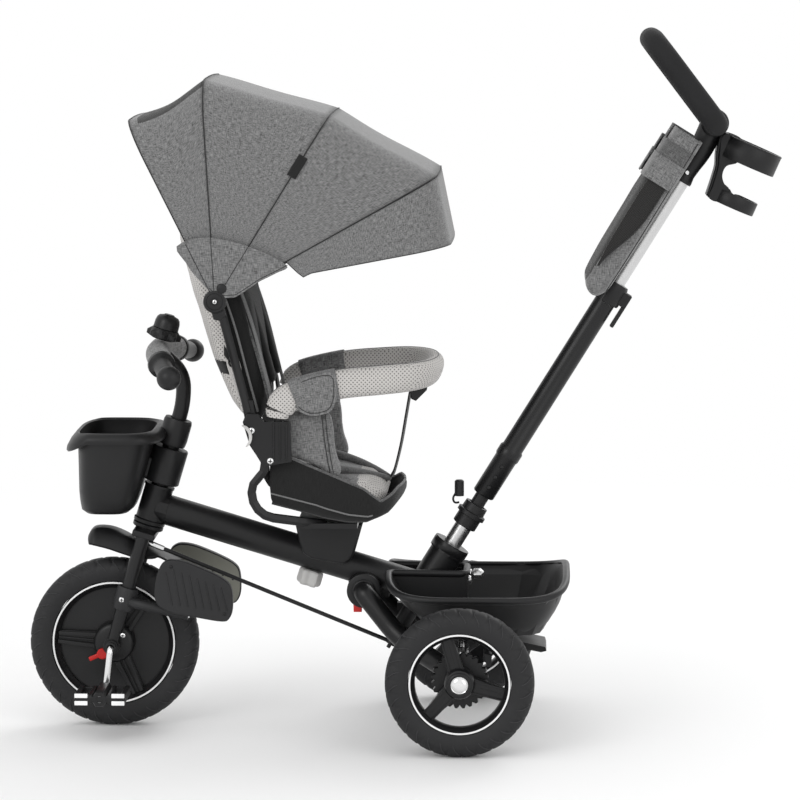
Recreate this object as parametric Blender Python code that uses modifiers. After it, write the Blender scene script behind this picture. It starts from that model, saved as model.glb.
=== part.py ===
"""Children's tricycle with a swivelling seat, a folding canopy and a parent's push bar.

Lengths are in millimetres until an object is made, then in metres. +X points to the rear,
+Z up, and the origin is on the floor in the middle of the tricycle's outline.
"""

import math

import bmesh
import bpy
from mathutils import Matrix, Vector

MM = 0.001
GAP = 0.3            # air between pieces that touch

# Wheels
FRONT_AXLE = Vector((-430, 0, 126))
FRONT_RADIUS = 126
FRONT_RIM = 93
REAR_AXLE = Vector((89, 0, 107.5))
REAR_RADIUS = 107.5
REAR_RIM = 74
REAR_TRACK = 215     # half the distance between the rear wheels' middles
TYRE_HALF = 21

# Steering: everything on the fork is placed from the front axle along the steering axis
STEER_TILT = math.radians(16.3)
STEER_UP = Vector((math.sin(STEER_TILT), 0, math.cos(STEER_TILT)))
STEER_FORWARD = Vector((-math.cos(STEER_TILT), 0, math.sin(STEER_TILT)))
LEG_Y = 45           # fork legs, left and right of the wheel
STEERER = 12.7

# Main tube and seat
TUBE_FRONT = Vector((-366, 0, 328.7))
TUBE_REAR = Vector((30, 0, 208.7))
TUBE_RADIUS = 22.5
SEAT_X = -106
SEAT_HALF = 130
RECLINE = Vector((-214, 0, 473))

# Push bar: placed along its own axis from a point inside the rear socket
POST_BASE = Vector((58, 0, 250))
POST_TILT = math.radians(31.8)
POST_UP = Vector((math.sin(POST_TILT), 0, math.cos(POST_TILT)))
POST_BACK = Vector((math.cos(POST_TILT), 0, -math.sin(POST_TILT)))
INNER_TUBE = 12.0
HANDLE_HUB = Vector((456, 0, 900))

# Rear legs, rod arms and brake
LEG_PIVOT = Vector((-56, 0, 210))
ARM_Y = -24          # the steering rod's pins, left of both steering axes
BRAKE_BAR = Vector((128, 0, 137))

# Canopy
HUB = Vector((-262, 0, 652))
RIB_RADIUS = 4
RIBS = {             # name: lean from upright in degrees, length, half width
    "rib_rear": (-26.5, 278, 146),
    "rib_upright": (-3.4, 307, 173),
    "rib_middle": (31.6, 302, 164),
    "rib_front": (60.7, 354, 155),
}
CLOTH_HALF = 181
CLOTH_CORNER = 62

COLOURS = {          # name: (colour, roughness, metallic)
    "black_paint": ((0.012, 0.012, 0.014), 0.42, 0.0),
    "black_plastic": ((0.016, 0.016, 0.018), 0.55, 0.0),
    "tyre_black": ((0.02, 0.02, 0.022), 0.85, 0.0),
    "rim_black": ((0.03, 0.03, 0.032), 0.5, 0.0),
    "chrome": ((0.75, 0.76, 0.78), 0.12, 1.0),
    "aluminium": ((0.62, 0.63, 0.65), 0.3, 1.0),
    "grey_fabric": ((0.2, 0.2, 0.2), 0.95, 0.0),
    "light_mesh": ((0.58, 0.56, 0.54), 0.9, 0.0),
    "grey_foam": ((0.14, 0.14, 0.14), 0.95, 0.0),
    "light_plastic": ((0.55, 0.54, 0.52), 0.45, 0.0),
    "olive_rubber": ((0.27, 0.27, 0.23), 0.8, 0.0),
    "red_plastic": ((0.6, 0.02, 0.02), 0.4, 0.0),
}

PARTS = None
CUTTERS = None


# ---------------------------------------------------------------- scene helpers

def clear_scene():
    global PARTS, CUTTERS
    for thing in list(bpy.data.objects):
        bpy.data.objects.remove(thing, do_unlink=True)
    PARTS = bpy.data.collections.new("childrens_tricycle")
    CUTTERS = bpy.data.collections.new("cutters")
    for collection in (PARTS, CUTTERS):
        bpy.context.scene.collection.children.link(collection)


def material(name):
    found = bpy.data.materials.get(name)
    if found:
        return found
    colour, roughness, metallic = COLOURS[name]
    made = bpy.data.materials.new(name)
    made.use_nodes = True
    shader = made.node_tree.nodes["Principled BSDF"]
    shader.inputs["Base Color"].default_value = (*colour, 1)
    shader.inputs["Roughness"].default_value = roughness
    shader.inputs["Metallic"].default_value = metallic
    made.diffuse_color = (*colour, 1)
    return made


def add_object(mesh, name="piece"):
    thing = bpy.data.objects.new(name, mesh)
    CUTTERS.objects.link(thing)
    thing.hide_render = True
    thing.display_type = "WIRE"
    return thing


def from_bmesh(bm, in_metres=False):
    if not in_metres:
        bmesh.ops.scale(bm, vec=Vector((MM, MM, MM)), verts=bm.verts)
    bmesh.ops.recalc_face_normals(bm, faces=bm.faces)
    mesh = bpy.data.meshes.new("piece")
    bm.to_mesh(mesh)
    bm.free()
    return add_object(mesh)


def bake(thing, weld=1e-7):
    """Turns a curve, or a mesh with modifiers, into a plain mesh placed in the world."""
    graph = bpy.context.evaluated_depsgraph_get()
    mesh = bpy.data.meshes.new_from_object(thing.evaluated_get(graph))
    mesh.transform(thing.matrix_world)
    bm = bmesh.new()
    bm.from_mesh(mesh)
    bmesh.ops.remove_doubles(bm, verts=bm.verts, dist=weld)
    bpy.data.objects.remove(thing, do_unlink=True)
    return from_bmesh(bm, in_metres=True)


def boolean(base, operation, others):
    for other in others:
        modifier = base.modifiers.new("Boolean", "BOOLEAN")
        modifier.operation = operation
        modifier.object = other
    bpy.context.view_layer.update()
    made = bake(base)
    for other in others:
        bpy.data.objects.remove(other, do_unlink=True)
    return made


def join(base, *others):
    return boolean(base, "UNION", others)


def cut(base, *cutters):
    return boolean(base, "DIFFERENCE", cutters)


def finish(thing, name, colour, smooth=38):
    """Names a finished piece, colours it and puts it with the parts."""
    thing.name = name
    thing.data.name = name
    thing.data.materials.clear()
    thing.data.materials.append(material(colour))
    thing.data.shade_smooth()
    thing.data.set_sharp_from_angle(angle=math.radians(smooth))
    CUTTERS.objects.unlink(thing)
    PARTS.objects.link(thing)
    thing.hide_render = False
    thing.display_type = "TEXTURED"
    return thing


# ---------------------------------------------------------------- shape helpers

def frame_along(axis):
    """A rotation whose Z runs along axis."""
    return Vector(axis).to_track_quat("Z", "Y").to_matrix().to_4x4()


def rod(start, end, radius, sides=16, end_radius=None):
    start, end = Vector(start), Vector(end)
    bm = bmesh.new()
    place = Matrix.Translation((start + end) / 2) @ frame_along(end - start)
    bmesh.ops.create_cone(bm, cap_ends=True, segments=sides, radius1=radius,
                          radius2=radius if end_radius is None else end_radius,
                          depth=(end - start).length, matrix=place)
    return from_bmesh(bm)


def cross_rod(centre, low_y, high_y, radius, sides=20):
    """A rod across the tricycle, through centre's X and Z."""
    return rod((centre[0], low_y, centre[2]), (centre[0], high_y, centre[2]), radius, sides)


def box(low, high, turn=None):
    """A box between two corners; turn is a rotation about its middle."""
    low, high = Vector(low), Vector(high)
    size = Matrix.Diagonal((*(high - low), 1))
    place = Matrix.Translation((low + high) / 2) @ (turn or Matrix()) @ size
    bm = bmesh.new()
    bmesh.ops.create_cube(bm, size=1, matrix=place)
    return from_bmesh(bm)


def ball(centre, radius):
    bm = bmesh.new()
    bmesh.ops.create_uvsphere(bm, u_segments=14, v_segments=8, radius=radius,
                              matrix=Matrix.Translation(centre))
    return from_bmesh(bm)


def rounded(corners, reach=30, steps=3):
    """Points along a path whose corners are rounded, each starting reach from the corner."""
    corners = [Vector(corner) for corner in corners]
    path = [corners[0]]
    for before, corner, after in zip(corners, corners[1:], corners[2:]):
        room = min(reach, (corner - before).length / 2, (after - corner).length / 2)
        start = corner + (before - corner).normalized() * room
        end = corner + (after - corner).normalized() * room
        for step in range(steps + 1):
            part = step / steps
            path.append(start.lerp(corner, part).lerp(corner.lerp(end, part), part))
    path.append(corners[-1])
    return path


def tube(path, radius, resolution=2):
    """A round bar along a path, with flat ends."""
    curve = bpy.data.curves.new("tube", "CURVE")
    curve.dimensions = "3D"
    curve.bevel_depth = radius * MM
    curve.bevel_resolution = resolution
    curve.use_fill_caps = True
    curve.render_resolution_u = 0
    spline = curve.splines.new("POLY")
    spline.points.add(len(path) - 1)
    for point, place in zip(spline.points, path):
        point.co = (*(Vector(place) * MM), 1)
    return bake(add_object(curve))


def turned(centre, axis, profile, steps=32, ring=False, turn=0.0):
    """Turns a profile of (radius, height) points about an axis; a ring's profile closes."""
    mesh = bpy.data.meshes.new("profile")
    edges = [(i, i + 1) for i in range(len(profile) - 1)]
    if ring:
        edges.append((len(profile) - 1, 0))
    mesh.from_pydata([(radius * MM, 0, height * MM) for radius, height in profile], edges, [])
    thing = add_object(mesh)
    screw = thing.modifiers.new("Screw", "SCREW")
    screw.steps = screw.render_steps = steps
    screw.use_merge_vertices = True
    screw.merge_threshold = 1e-6
    thing.matrix_world = (Matrix.Translation(Vector(centre) * MM) @ frame_along(axis)
                          @ Matrix.Rotation(turn, 4, "Z"))
    bpy.context.view_layer.update()
    return bake(thing)


def side_plate(outline, low_y, high_y):
    """A flat outline of (x, z) points, solid from low_y to high_y."""
    curve = bpy.data.curves.new("plate", "CURVE")
    curve.dimensions = "2D"
    curve.fill_mode = "BOTH"
    curve.extrude = (high_y - low_y) / 2 * MM
    spline = curve.splines.new("POLY")
    spline.points.add(len(outline) - 1)
    spline.use_cyclic_u = True
    for point, (x, z) in zip(spline.points, outline):
        point.co = (x * MM, z * MM, 0, 1)
    thing = add_object(curve)
    thing.matrix_world = (Matrix.Translation((0, (low_y + high_y) / 2 * MM, 0))
                          @ Matrix.Rotation(math.pi / 2, 4, "X"))
    bpy.context.view_layer.update()
    return bake(thing)


def loft(loops):
    """A closed body through loops with the same number of points, capped at both ends."""
    bm = bmesh.new()
    rows = [[bm.verts.new(point) for point in loop] for loop in loops]
    count = len(rows[0])
    for row, following in zip(rows, rows[1:]):
        for i in range(count):
            after = (i + 1) % count
            bm.faces.new((row[i], row[after], following[after], following[i]))
    bm.faces.new(reversed(rows[0]))
    bm.faces.new(rows[-1])
    return from_bmesh(bm)


def oval(centre, half_x, half_y, power=4, count=20):
    """A rounded rectangle in plan, as a superellipse; centre is (x, y, z)."""
    points = []
    for i in range(count):
        angle = 2 * math.pi * (i + 0.5) / count
        c, s = math.cos(angle), math.sin(angle)
        x = half_x * math.copysign(abs(c) ** (2 / power), c)
        y = half_y * math.copysign(abs(s) ** (2 / power), s)
        points.append(Vector(centre) + Vector((x, y, 0)))
    return points


def sheet(rows, thickness):
    """A thin cloth over a grid of points."""
    bm = bmesh.new()
    grid = [[bm.verts.new(point) for point in row] for row in rows]
    for row, following in zip(grid, grid[1:]):
        for i in range(len(row) - 1):
            bm.faces.new((row[i], row[i + 1], following[i + 1], following[i]))
    thing = from_bmesh(bm)
    solid = thing.modifiers.new("Solidify", "SOLIDIFY")
    solid.thickness = thickness * MM
    solid.offset = 0
    bpy.context.view_layer.update()
    return bake(thing)


def steer(along, y=0.0, forward=0.0):
    """A point given along the steering axis from the front axle."""
    return FRONT_AXLE + STEER_UP * along + STEER_FORWARD * forward + Vector((0, y, 0))


def post(along, y=0.0, back=0.0):
    """A point given along the push bar's axis from its base."""
    return POST_BASE + POST_UP * along + POST_BACK * back + Vector((0, y, 0))


# ---------------------------------------------------------------- frame

def main_frame():
    """Main tube with the head tube, the push bar's socket and the rear legs' hub."""
    body = rod(TUBE_FRONT, TUBE_REAR, TUBE_RADIUS, 18)
    head = rod(steer(186), steer(246), 21, 18)
    socket = rod(post(-48), post(30), 25, 18)
    collar = rod(post(14), post(30.5), 28, 18)
    hub = cross_rod(LEG_PIVOT, -33, 33, 25.5, 16)
    hub_web = box((-80, -14, 196), (-20, 14, 226))
    body = join(body, head, socket, collar, hub, hub_web)
    steerer_bore = rod(steer(150), steer(280), STEERER + 0.6, 18)
    post_bore = rod(post(-90), post(60), 13.2, 18)
    button_bore = rod((-66, -20, 170), (-66, -20, 203), 6, 12)
    return finish(cut(body, steerer_bore, post_bore, button_bore), "main_frame", "black_paint")


def seat_mount():
    """Saddle on the main tube that carries the seat's turntable."""
    outline = [(-157, 307), (-151, 278), (-143, 262), (-134, 256), (-88, 247), (-78, 252),
               (-72, 262), (-58, 307)]
    saddle = side_plate(outline, -32, 32)
    turntable = rod((SEAT_X, 0, 302), (SEAT_X, 0, 312), 42, 20)
    tube_seat = rod(TUBE_FRONT, TUBE_REAR, TUBE_RADIUS + GAP, 24)
    return finish(cut(join(saddle, turntable), tube_seat), "seat_mount", "black_plastic")


def star_knob():
    """Five-lobed clamping knob below the main tube."""
    along = (TUBE_REAR - TUBE_FRONT).normalized()
    down = Vector((along.z, 0, -along.x))
    centre = TUBE_FRONT.lerp(TUBE_REAR, 0.60)
    turn = frame_along(-down)
    loops = []
    for height, inset in ((TUBE_RADIUS + 0.6, 3), (TUBE_RADIUS + 4, 0), (TUBE_RADIUS + 20, 0),
                          (TUBE_RADIUS + 24, 4)):
        loop = []
        for i in range(20):
            angle = 2 * math.pi * i / 20
            radius = 16.5 + 2.8 * math.cos(5 * angle) - inset
            flat = Vector((radius * math.cos(angle), radius * math.sin(angle), 0))
            loop.append(centre + down * height + turn @ flat)
        loops.append(loop)
    return finish(loft(loops), "star_knob", "light_plastic")


def leg_button():
    """Red release button under the rear legs' hub."""
    button = rod((-66, -20, 176), (-66, -20, 194), 5.5, 12)
    return finish(button, "leg_button", "red_plastic")


# ---------------------------------------------------------------- rear legs and wheels

def rear_legs():
    """Two bent legs from the folding hub to the rear axle."""
    pieces = []
    for side in (-1, 1):
        cheek = cross_rod(LEG_PIVOT, side * 33.5, side * 42, 25, 16)
        leg = tube(rounded([(-56, side * 38, 210), (-56, side * 54, 210), (-2, side * 76, 146),
                            (60, side * 132, 117), (89, side * 168, 107.5)], 22, 2), 14.5)
        bracket = side_plate([(80, 98), (100, 100), (140, 132), (136, 147), (120, 147),
                              (82, 118)], side * 110 - 3, side * 110 + 3)
        pieces += [cheek, leg, bracket]
    axle = cross_rod(REAR_AXLE, -232, 232, 8, 16)
    tie = tube([(20, -92, 133), (20, 92, 133)], 7)
    bore = cross_rod(BRAKE_BAR, -130, 130, 6.4, 16)
    return finish(cut(join(axle, tie, *pieces), bore), "rear_legs", "black_paint")


def leg_brace():
    """Short folding strut between the frame and the legs' tie bar."""
    strut = tube([(20, 36, 133), (2, 36, 176)], 6.5)
    eye = cross_rod((20, 0, 133), 26, 46, 12, 16)
    head = box((-9, 27, 170), (9, 45, 181))
    bore = cross_rod((20, 0, 133), 20, 60, 7.6, 12)
    return finish(cut(join(strut, eye, head), bore), "leg_brace", "black_plastic")


def brake_bar():
    """Foot brake: a bar with a pedal plate, and a pawl at each toothed ring."""
    bar = cross_rod(BRAKE_BAR, -186, 186, 6, 16)
    pedal = side_plate([(128, 131), (128, 143), (150, 141), (212, 128), (214, 122), (206, 120),
                        (148, 131)], -42, 42)
    pieces = [pedal]
    for side in (-1, 1):
        pieces.append(side_plate([(127, 127), (134, 127), (135, 143), (124, 146)],
                                 side * 187.5 - 6.5, side * 187.5 + 6.5))
    return finish(join(bar, *pieces), "brake_bar", "light_plastic")


def tyre_profile(radius, inner, half):
    """Outer side from top to bottom, then back up the bore."""
    return [(radius - 16, half), (radius - 5, half - 5), (radius, half - 12),
            (radius, -half + 12), (radius - 5, -half + 5), (radius - 16, -half),
            (inner, -half + 4), (inner, half - 4)]


def tyre(name, centre, radius, inner, half, steps):
    """A tyre whose tread has a flat facet on the floor."""
    facet = math.cos(math.pi / steps)
    profile = [(r / facet if r > radius - 6 else r, h)
               for r, h in tyre_profile(radius, inner, half)]
    ring = turned(centre, (0, -1, 0), profile, steps, ring=True, turn=math.pi / steps)
    return finish(ring, name, "tyre_black")


def spoke(centre, side_y, angle, low, high, half_width, half_depth):
    """A straight spoke from radius low to radius high at an angle in the wheel's plane."""
    turn = Matrix.Rotation(-angle, 4, "Y")
    middle = centre + Vector((math.cos(angle), 0, math.sin(angle))) * (low + high) / 2
    middle.y = side_y
    half = Vector(((high - low) / 2, half_depth, half_width))
    return box(middle - half, middle + half, turn)


def front_wheel():
    tyre("tyre_front", FRONT_AXLE, FRONT_RADIUS, FRONT_RIM, 23, 32)
    edge = FRONT_RIM - GAP - 0.4
    profile = [(edge, 17), (edge, -17), (edge - 8, -17), (edge - 12, -8), (34, -8), (30, -22),
               (6.5, -22), (6.5, 22), (30, 22), (34, 8), (edge - 12, 8), (edge - 8, 17)]
    rim = turned(FRONT_AXLE, (0, -1, 0), profile, 28, ring=True)
    bars = []
    for degrees in (175, 55, -65):
        for offset in (-8, 8):
            angle = math.radians(degrees + offset)
            bars.append(spoke(FRONT_AXLE, 0, angle, 28, edge - 6, 4, 13))
    finish(join(rim, *bars), "rim_front", "rim_black")


def rear_wheel(tag, side):
    centre = REAR_AXLE + Vector((0, side * REAR_TRACK, 0))
    tyre(f"tyre_rear_{tag}", centre, REAR_RADIUS, REAR_RIM, TYRE_HALF, 28)
    edge = REAR_RIM - GAP - 0.4
    rim = turned(centre, (0, -side, 0), [(edge, 16), (edge, -16), (edge - 9, -16),
                                         (edge - 9, 16)], 28, ring=True)
    boss = turned(centre, (0, -side, 0), [(22, 17), (22, -14), (17, -19), (8.4, -19),
                                          (8.4, 17)], 18, ring=True)
    bars = [spoke(centre, centre.y, math.radians(degrees), 18, edge - 4, 11, 8)
            for degrees in (106, 226, -14)]
    teeth = []
    for i in range(24):
        radius = 41 if i % 4 in (1, 2) else 36
        angle = 2 * math.pi * i / 24
        teeth.append((centre.x + radius * math.cos(angle), centre.z + radius * math.sin(angle)))
    low = side * 182 if side > 0 else -200
    ring = side_plate(teeth, low, low + 18)
    bore = cross_rod(centre, side * 170, side * 240, 8.4, 18)
    rim = cut(join(rim, boss, *bars, ring), bore)
    finish(rim, f"rim_rear_{tag}", "rim_black")
    outer = centre.y + side * 19.5
    cap = turned((centre.x, outer, centre.z), (0, side, 0),
                 [(0, 7), (6, 6.4), (12, 3), (13, 0), (0, 0)], 14)
    finish(cap, f"cap_rear_{tag}", "chrome")


def rear_basket():
    """Open tub behind the seat, notched in front for the push bar's socket."""
    wall = 3
    levels = [((126, 0, 160), 84, 128), ((117, 0, 205), 118, 150), ((112, 0, 236), 130, 163)]
    outer = [oval(centre, half_x, half_y, 5, 16) for centre, half_x, half_y in levels]
    lip = oval((112, 0, 240), 130, 163, 5, 16)
    inner_lip = oval((112, 0, 240), 126, 159, 5, 16)
    inner = [oval(Vector(centre) + Vector((0, 0, wall if i == 0 else 0)), half_x - wall,
                  half_y - wall, 5, 16)
             for i, (centre, half_x, half_y) in reversed(list(enumerate(levels)))]
    for loop in (outer[-1], lip, inner_lip, inner[0]):
        for point in loop:
            point.z -= 22 * (point.y / 163) ** 2
    tub = loft([*outer, lip, inner_lip, *inner])
    notch_wall = box((-30, -40, 163.5), (97, 40, 237))
    hollow = box((-40, -37, 120), (94, 37, 260))
    outside = loft([oval(centre, half_x - 1, half_y - 1, 5, 16)
                    for centre, half_x, half_y in levels] + [oval((112, 0, 238), 129, 162, 5, 16)])
    divider = boolean(notch_wall, "INTERSECT", [outside])
    return finish(cut(join(tub, divider), hollow), "rear_basket", "black_plastic")


# ---------------------------------------------------------------- push bar

def steer_post():
    """Turns in the rear socket; its lower arm drives the steering rod."""
    profile = [(0, 150), (10.7, 150), (10.7, 90), (17, 90), (17, 86), (21, 86), (21, 80),
               (17, 80), (17, 62), (12.6, 62), (12.6, -122), (15, -122), (15, -134), (0, -134)]
    shaft = turned(POST_BASE, POST_UP, profile, 18)
    arm = rod(post(-128), post(-128, ARM_Y), 5.5, 12)
    pin = rod(post(-120, ARM_Y), post(-150, ARM_Y), 3, 12)
    return finish(join(shaft, arm, pin), "steer_post", "aluminium")


def outer_tube():
    """Push bar's lower tube, with the coupling sleeve at its foot and open at the top."""
    profile = [(0, 200), (12.4, 200), (12.4, 455), (16, 455), (16, 186), (15, 184), (15, 116),
               (11, 116), (11, 152), (0, 152)]
    tube_body = turned(POST_BASE, POST_UP, profile, 18)
    return finish(tube_body, "outer_tube", "black_paint")


def tube_clamp():
    """Clamp ring at the top of the lower tube, with the lever's lug."""
    ring = turned(POST_BASE, POST_UP, [(19.5, 488), (19.5, 455.4), (12.4, 455.4),
                                       (12.4, 488)], 24, ring=True)
    lugs = []
    for side in (-1, 1):
        turn = Matrix.Rotation(POST_TILT, 4, "Y")
        middle = post(472, side * 9, 22)
        half = Vector((8, 2.5, 9))
        lugs.append(box(middle - half, middle + half, turn))
    return finish(join(ring, *lugs), "tube_clamp", "black_plastic")


def flip_lever():
    """Lever that locks the telescoping tube."""
    barrel = rod(post(474, -6, 25), post(474, 6, 25), 5, 14)
    turn = Matrix.Rotation(POST_TILT, 4, "Y")
    middle = post(451, 0, 26.5)
    half = Vector((2.6, 6, 24))
    blade = box(middle - half, middle + half, turn)
    return finish(join(blade, barrel), "flip_lever", "black_plastic")


def dust_cap():
    """Round cap on a short string, for the socket when the push bar is off."""
    cap = turned((84, 0, 347), (0, 0, 1), [(0, 24), (5, 24), (7, 22), (7, 0), (0, 0)], 16)
    string = tube(rounded([(84, 0, 337.4), (77, 0, 336), (74, 0, 343), (79, 0, 352)], 6), 1.6)
    return finish(join(cap, string), "dust_cap", "black_plastic")


def inner_tube():
    tube_body = turned(POST_BASE, POST_UP, [(0, 690), (INNER_TUBE, 690), (INNER_TUBE, 330),
                                            (0, 330)], 24)
    return finish(tube_body, "inner_tube", "aluminium")


def neck():
    """Neck at the top of the push bar, with the head that the handle tilts on."""
    sleeve = turned(POST_BASE, POST_UP, [(0, 758), (15, 752), (15, 668), (12.4, 668),
                                         (12.4, 690.5), (0, 690.5)], 18)
    head = cross_rod(HANDLE_HUB, -22, 22, 20, 18)
    return finish(join(sleeve, head), "neck", "black_plastic")


def handle_loop():
    """Foam-covered loop; its two ends sit on the neck's head."""
    reach = Vector((-0.605, 0, 0.796))
    corners = [HANDLE_HUB + Vector((0, 22.4, 0)), HANDLE_HUB + Vector((0, 98, 0)),
               HANDLE_HUB + reach * 152 + Vector((0, 98, 0)),
               HANDLE_HUB + reach * 152 + Vector((0, -98, 0)),
               HANDLE_HUB + Vector((0, -98, 0)), HANDLE_HUB + Vector((0, -22.4, 0))]
    return finish(tube(rounded(corners, 52, 4), 16.5, 3), "handle_loop", "grey_foam")


def cup_holder():
    """Cup ring and a lower cradle, joined by a web that leaves the neck at its top."""
    lean = math.radians(23.6)
    up = Vector((math.sin(lean), 0, math.cos(lean)))
    ring = turned(post(748, 0, 63), up, [(46, 15), (46, -15), (42.5, -15), (42.5, 15)], 24,
                  ring=True)
    cradle = turned(post(680, 0, 79), up, [(0, -6), (32, -6), (32, 10), (36, 10), (36, -10),
                                           (0, -10)], 20)
    # the web ends inside the thickness of each wall
    lug_top, lug_foot = post(745, 0, 15.4), post(728, 0, 15.4)
    web = side_plate([(lug_top.x, lug_top.z), (466.6, 874.2), (460.6, 858), (464, 852),
                      (464, 838), (461, 822), (457.2, 808.5), (450.2, 792.6), (448, 793.6),
                      (449.5, 806), (454, 822), (457.5, 838), (lug_foot.x, lug_foot.z)],
                     -12.5, 12.5)
    return finish(join(ring, web, cradle), "cup_holder", "black_plastic")


def bag():
    """Parent's bag, hung in front of the push bar."""
    loops = []
    for along, depth, half, back in ((458, 10, 70, -34), (470, 26, 88, -34), (520, 34, 93, -37),
                                     (610, 34, 93, -37), (680, 30, 92, -36), (716, 24, 86, -34),
                                     (728, 8, 70, -32)):
        loop = []
        for flat in oval((0, 0, 0), depth / 2, half, 4, 16):
            loop.append(post(along, flat.y, back + flat.x))
        loops.append(loop)
    return finish(loft(loops), "bag", "grey_fabric")


def steering_rod():
    """Rod from the fork's pin to the push bar's arm."""
    front, rear = steer(162, ARM_Y), post(-140, ARM_Y)
    eyes = []
    for centre, axis in ((front, STEER_UP), (rear, POST_UP)):
        eyes.append(turned(centre, axis, [(9, 3.5), (9, -3.5), (5.8, -3.5), (5.8, 3.5)], 14,
                           ring=True))
    along = (rear - front).normalized()
    bar = rod(front + along * 7.5, rear - along * 7.5, 3.4, 10)
    return finish(join(bar, *eyes), "steering_rod", "black_paint")


# ---------------------------------------------------------------- fork and handlebar

def fork():
    """Crown, two legs, steerer and the steering rod's pin."""
    turn = Matrix.Rotation(STEER_TILT, 4, "Y")
    crown_middle = steer(174)
    half = Vector((17, 55, 5))
    crown = box(crown_middle - half, crown_middle + half, turn)
    steerer = rod(steer(172), steer(330), STEERER, 18)
    seat = rod(steer(178), steer(185.6), 23, 18)
    pin = rod(steer(172, ARM_Y), steer(156, ARM_Y), 3, 12)
    pieces = [steerer, seat, pin]
    for side in (-1, 1):
        pieces.append(rod(steer(4, side * LEG_Y), steer(174, side * LEG_Y), 9.5, 12))
        pieces.append(cross_rod(FRONT_AXLE, side * 36, side * 54, 12, 14))
    bore = cross_rod(FRONT_AXLE, -80, 80, 5.6, 12)
    return finish(cut(join(crown, *pieces), bore), "fork", "black_paint")


def fender():
    """Short hood between the fork legs."""
    roof = [(-463, 288), (-454, 297), (-425, 293), (-402, 279), (-384, 266), (-356, 254),
            (-330, 246)]
    lower = [(-334, 238), (-366, 234), (-399, 254), (-420, 256), (-434, 262), (-450, 272)]
    body = side_plate(roof + lower, -33, 33)
    inside = side_plate([(x, z - 3) for x, z in roof[1:-1]] + [(-320, 240), (-320, 200),
                                                                (-470, 200), (-470, 270)],
                        -30.5, 30.5)
    return finish(cut(body, inside), "fender", "black_plastic")


def front_basket():
    """Basket in front of the head tube, on a ring round the steerer."""
    levels = [((-436, 0, 326), 38, 70), ((-432, 0, 360), 45, 88), ((-422, 0, 434), 56, 98)]
    outer = [oval(centre, half_x, half_y, 4, 16) for centre, half_x, half_y in levels]

    def rim(half_x, half_y, top):
        loop = oval((-422, 0, top), half_x, half_y, 4, 16)
        return [point - Vector((0, 0, 30 * max(0, abs(point.x + 422) / 72 - 0.55)))
                for point in loop]

    lip = [rim(72, 106, 436), rim(72, 106, 444), rim(56, 96, 450), rim(53, 94, 446)]
    inner = [oval(Vector(centre) + Vector((0, 0, 3 if i == 0 else 0)), half_x - 3, half_y - 3, 4, 16)
             for i, (centre, half_x, half_y) in reversed(list(enumerate(levels)))]
    basket = loft([*outer, *lip, *inner])
    ring = rod(steer(250), steer(304), 27, 18)
    turn = Matrix.Rotation(STEER_TILT, 4, "Y")
    middle = steer(268, 0, 26)
    half = Vector((14, 16, 16))
    lug = box(middle - half, middle + half, turn)
    bore = rod(steer(200), steer(340), STEERER + 0.6, 18)
    keep_out = rod(steer(304.3), steer(352), 30, 18)
    return finish(cut(join(basket, ring, lug), bore, keep_out), "front_basket", "black_plastic")


BAR_PATH = [(-331, -178, 544), (-345, -120, 553), (-360, -42, 562), (-360, 42, 562),
            (-345, 120, 553), (-331, 178, 544)]


def stem_path():
    return rounded([steer(340), steer(375), (-325, 0, 528), (-360, 0, 562)], 26, 3)


def stem():
    """Clamp sleeve, curved stem and handlebar."""
    sleeve = rod(steer(308), steer(348), 20, 18)
    neck_tube = tube(stem_path(), 11, 3)
    bar = tube(rounded(BAR_PATH, 24), 9, 2)
    bore = rod(steer(290), steer(330.6), STEERER + 0.6, 18)
    return finish(cut(join(sleeve, neck_tube, bar), bore), "stem", "black_paint")


def bar_pad():
    """Foam over the middle of the handlebar."""
    path = rounded(BAR_PATH, 24)
    ends = []
    for side in (-1, 1):
        inner, outer = Vector((-360, side * 42, 562)), Vector((-345, side * 120, 553))
        ends.append(inner.lerp(outer, 0.95))
    middle = [ends[0], *[point for point in path if abs(point.y) < 100], ends[1]]
    foam = tube(middle, 17, 3)
    core = tube(path, 9.7, 2)
    stem_way = tube(stem_path(), 12, 3)
    return finish(cut(foam, core, stem_way), "bar_pad", "grey_foam")


def grip(tag, side):
    """End grip with a round safety ball."""
    inner, outer = Vector((-345, side * 120, 553)), Vector((-331, side * 178, 544))
    away = (outer - inner).normalized()
    sleeve = rod(inner + away * 1.5, outer + away * 4, 12.5, 16, 14)
    knob = ball(outer + away * 12, 17.5)
    core = rod(inner - away * 8, outer + away * 0.4, 9.5, 16)
    return finish(cut(join(sleeve, knob), core), f"grip_{tag}", "black_plastic")


def bell():
    """Bell on top of the handlebar: a base and a turning cap."""
    foot = Vector((-352, -34, 582))
    base = turned(foot, STEER_UP, [(0, 16), (22, 16), (25, 12), (25, 5), (20, 0), (0, 0)], 18)
    clear = tube(rounded(BAR_PATH, 24), 17.6, 3)
    finish(cut(base, clear), "bell_base", "black_plastic")
    cap = turned(foot + STEER_UP * 16.4, STEER_UP,
                 [(0, 22), (8, 21.5), (14, 18), (18, 11), (19, 0), (0, 0)], 18)
    finish(cap, "bell_cap", "black_plastic")


def footrest_arm(tag, side):
    """Collar on a fork leg with the footrest's arm."""
    collar = rod(steer(58, side * LEG_Y), steer(92, side * LEG_Y), 15, 16)
    arm = tube(rounded([(-405, side * 50, 194), (-385, side * 63, 191), (-314, side * 63, 176)],
                       10, 2), 7.5)
    bore = rod(steer(40, side * LEG_Y), steer(110, side * LEG_Y), 10.1, 12)
    return finish(cut(join(collar, arm), bore), f"footrest_arm_{tag}", "black_plastic")


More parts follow.
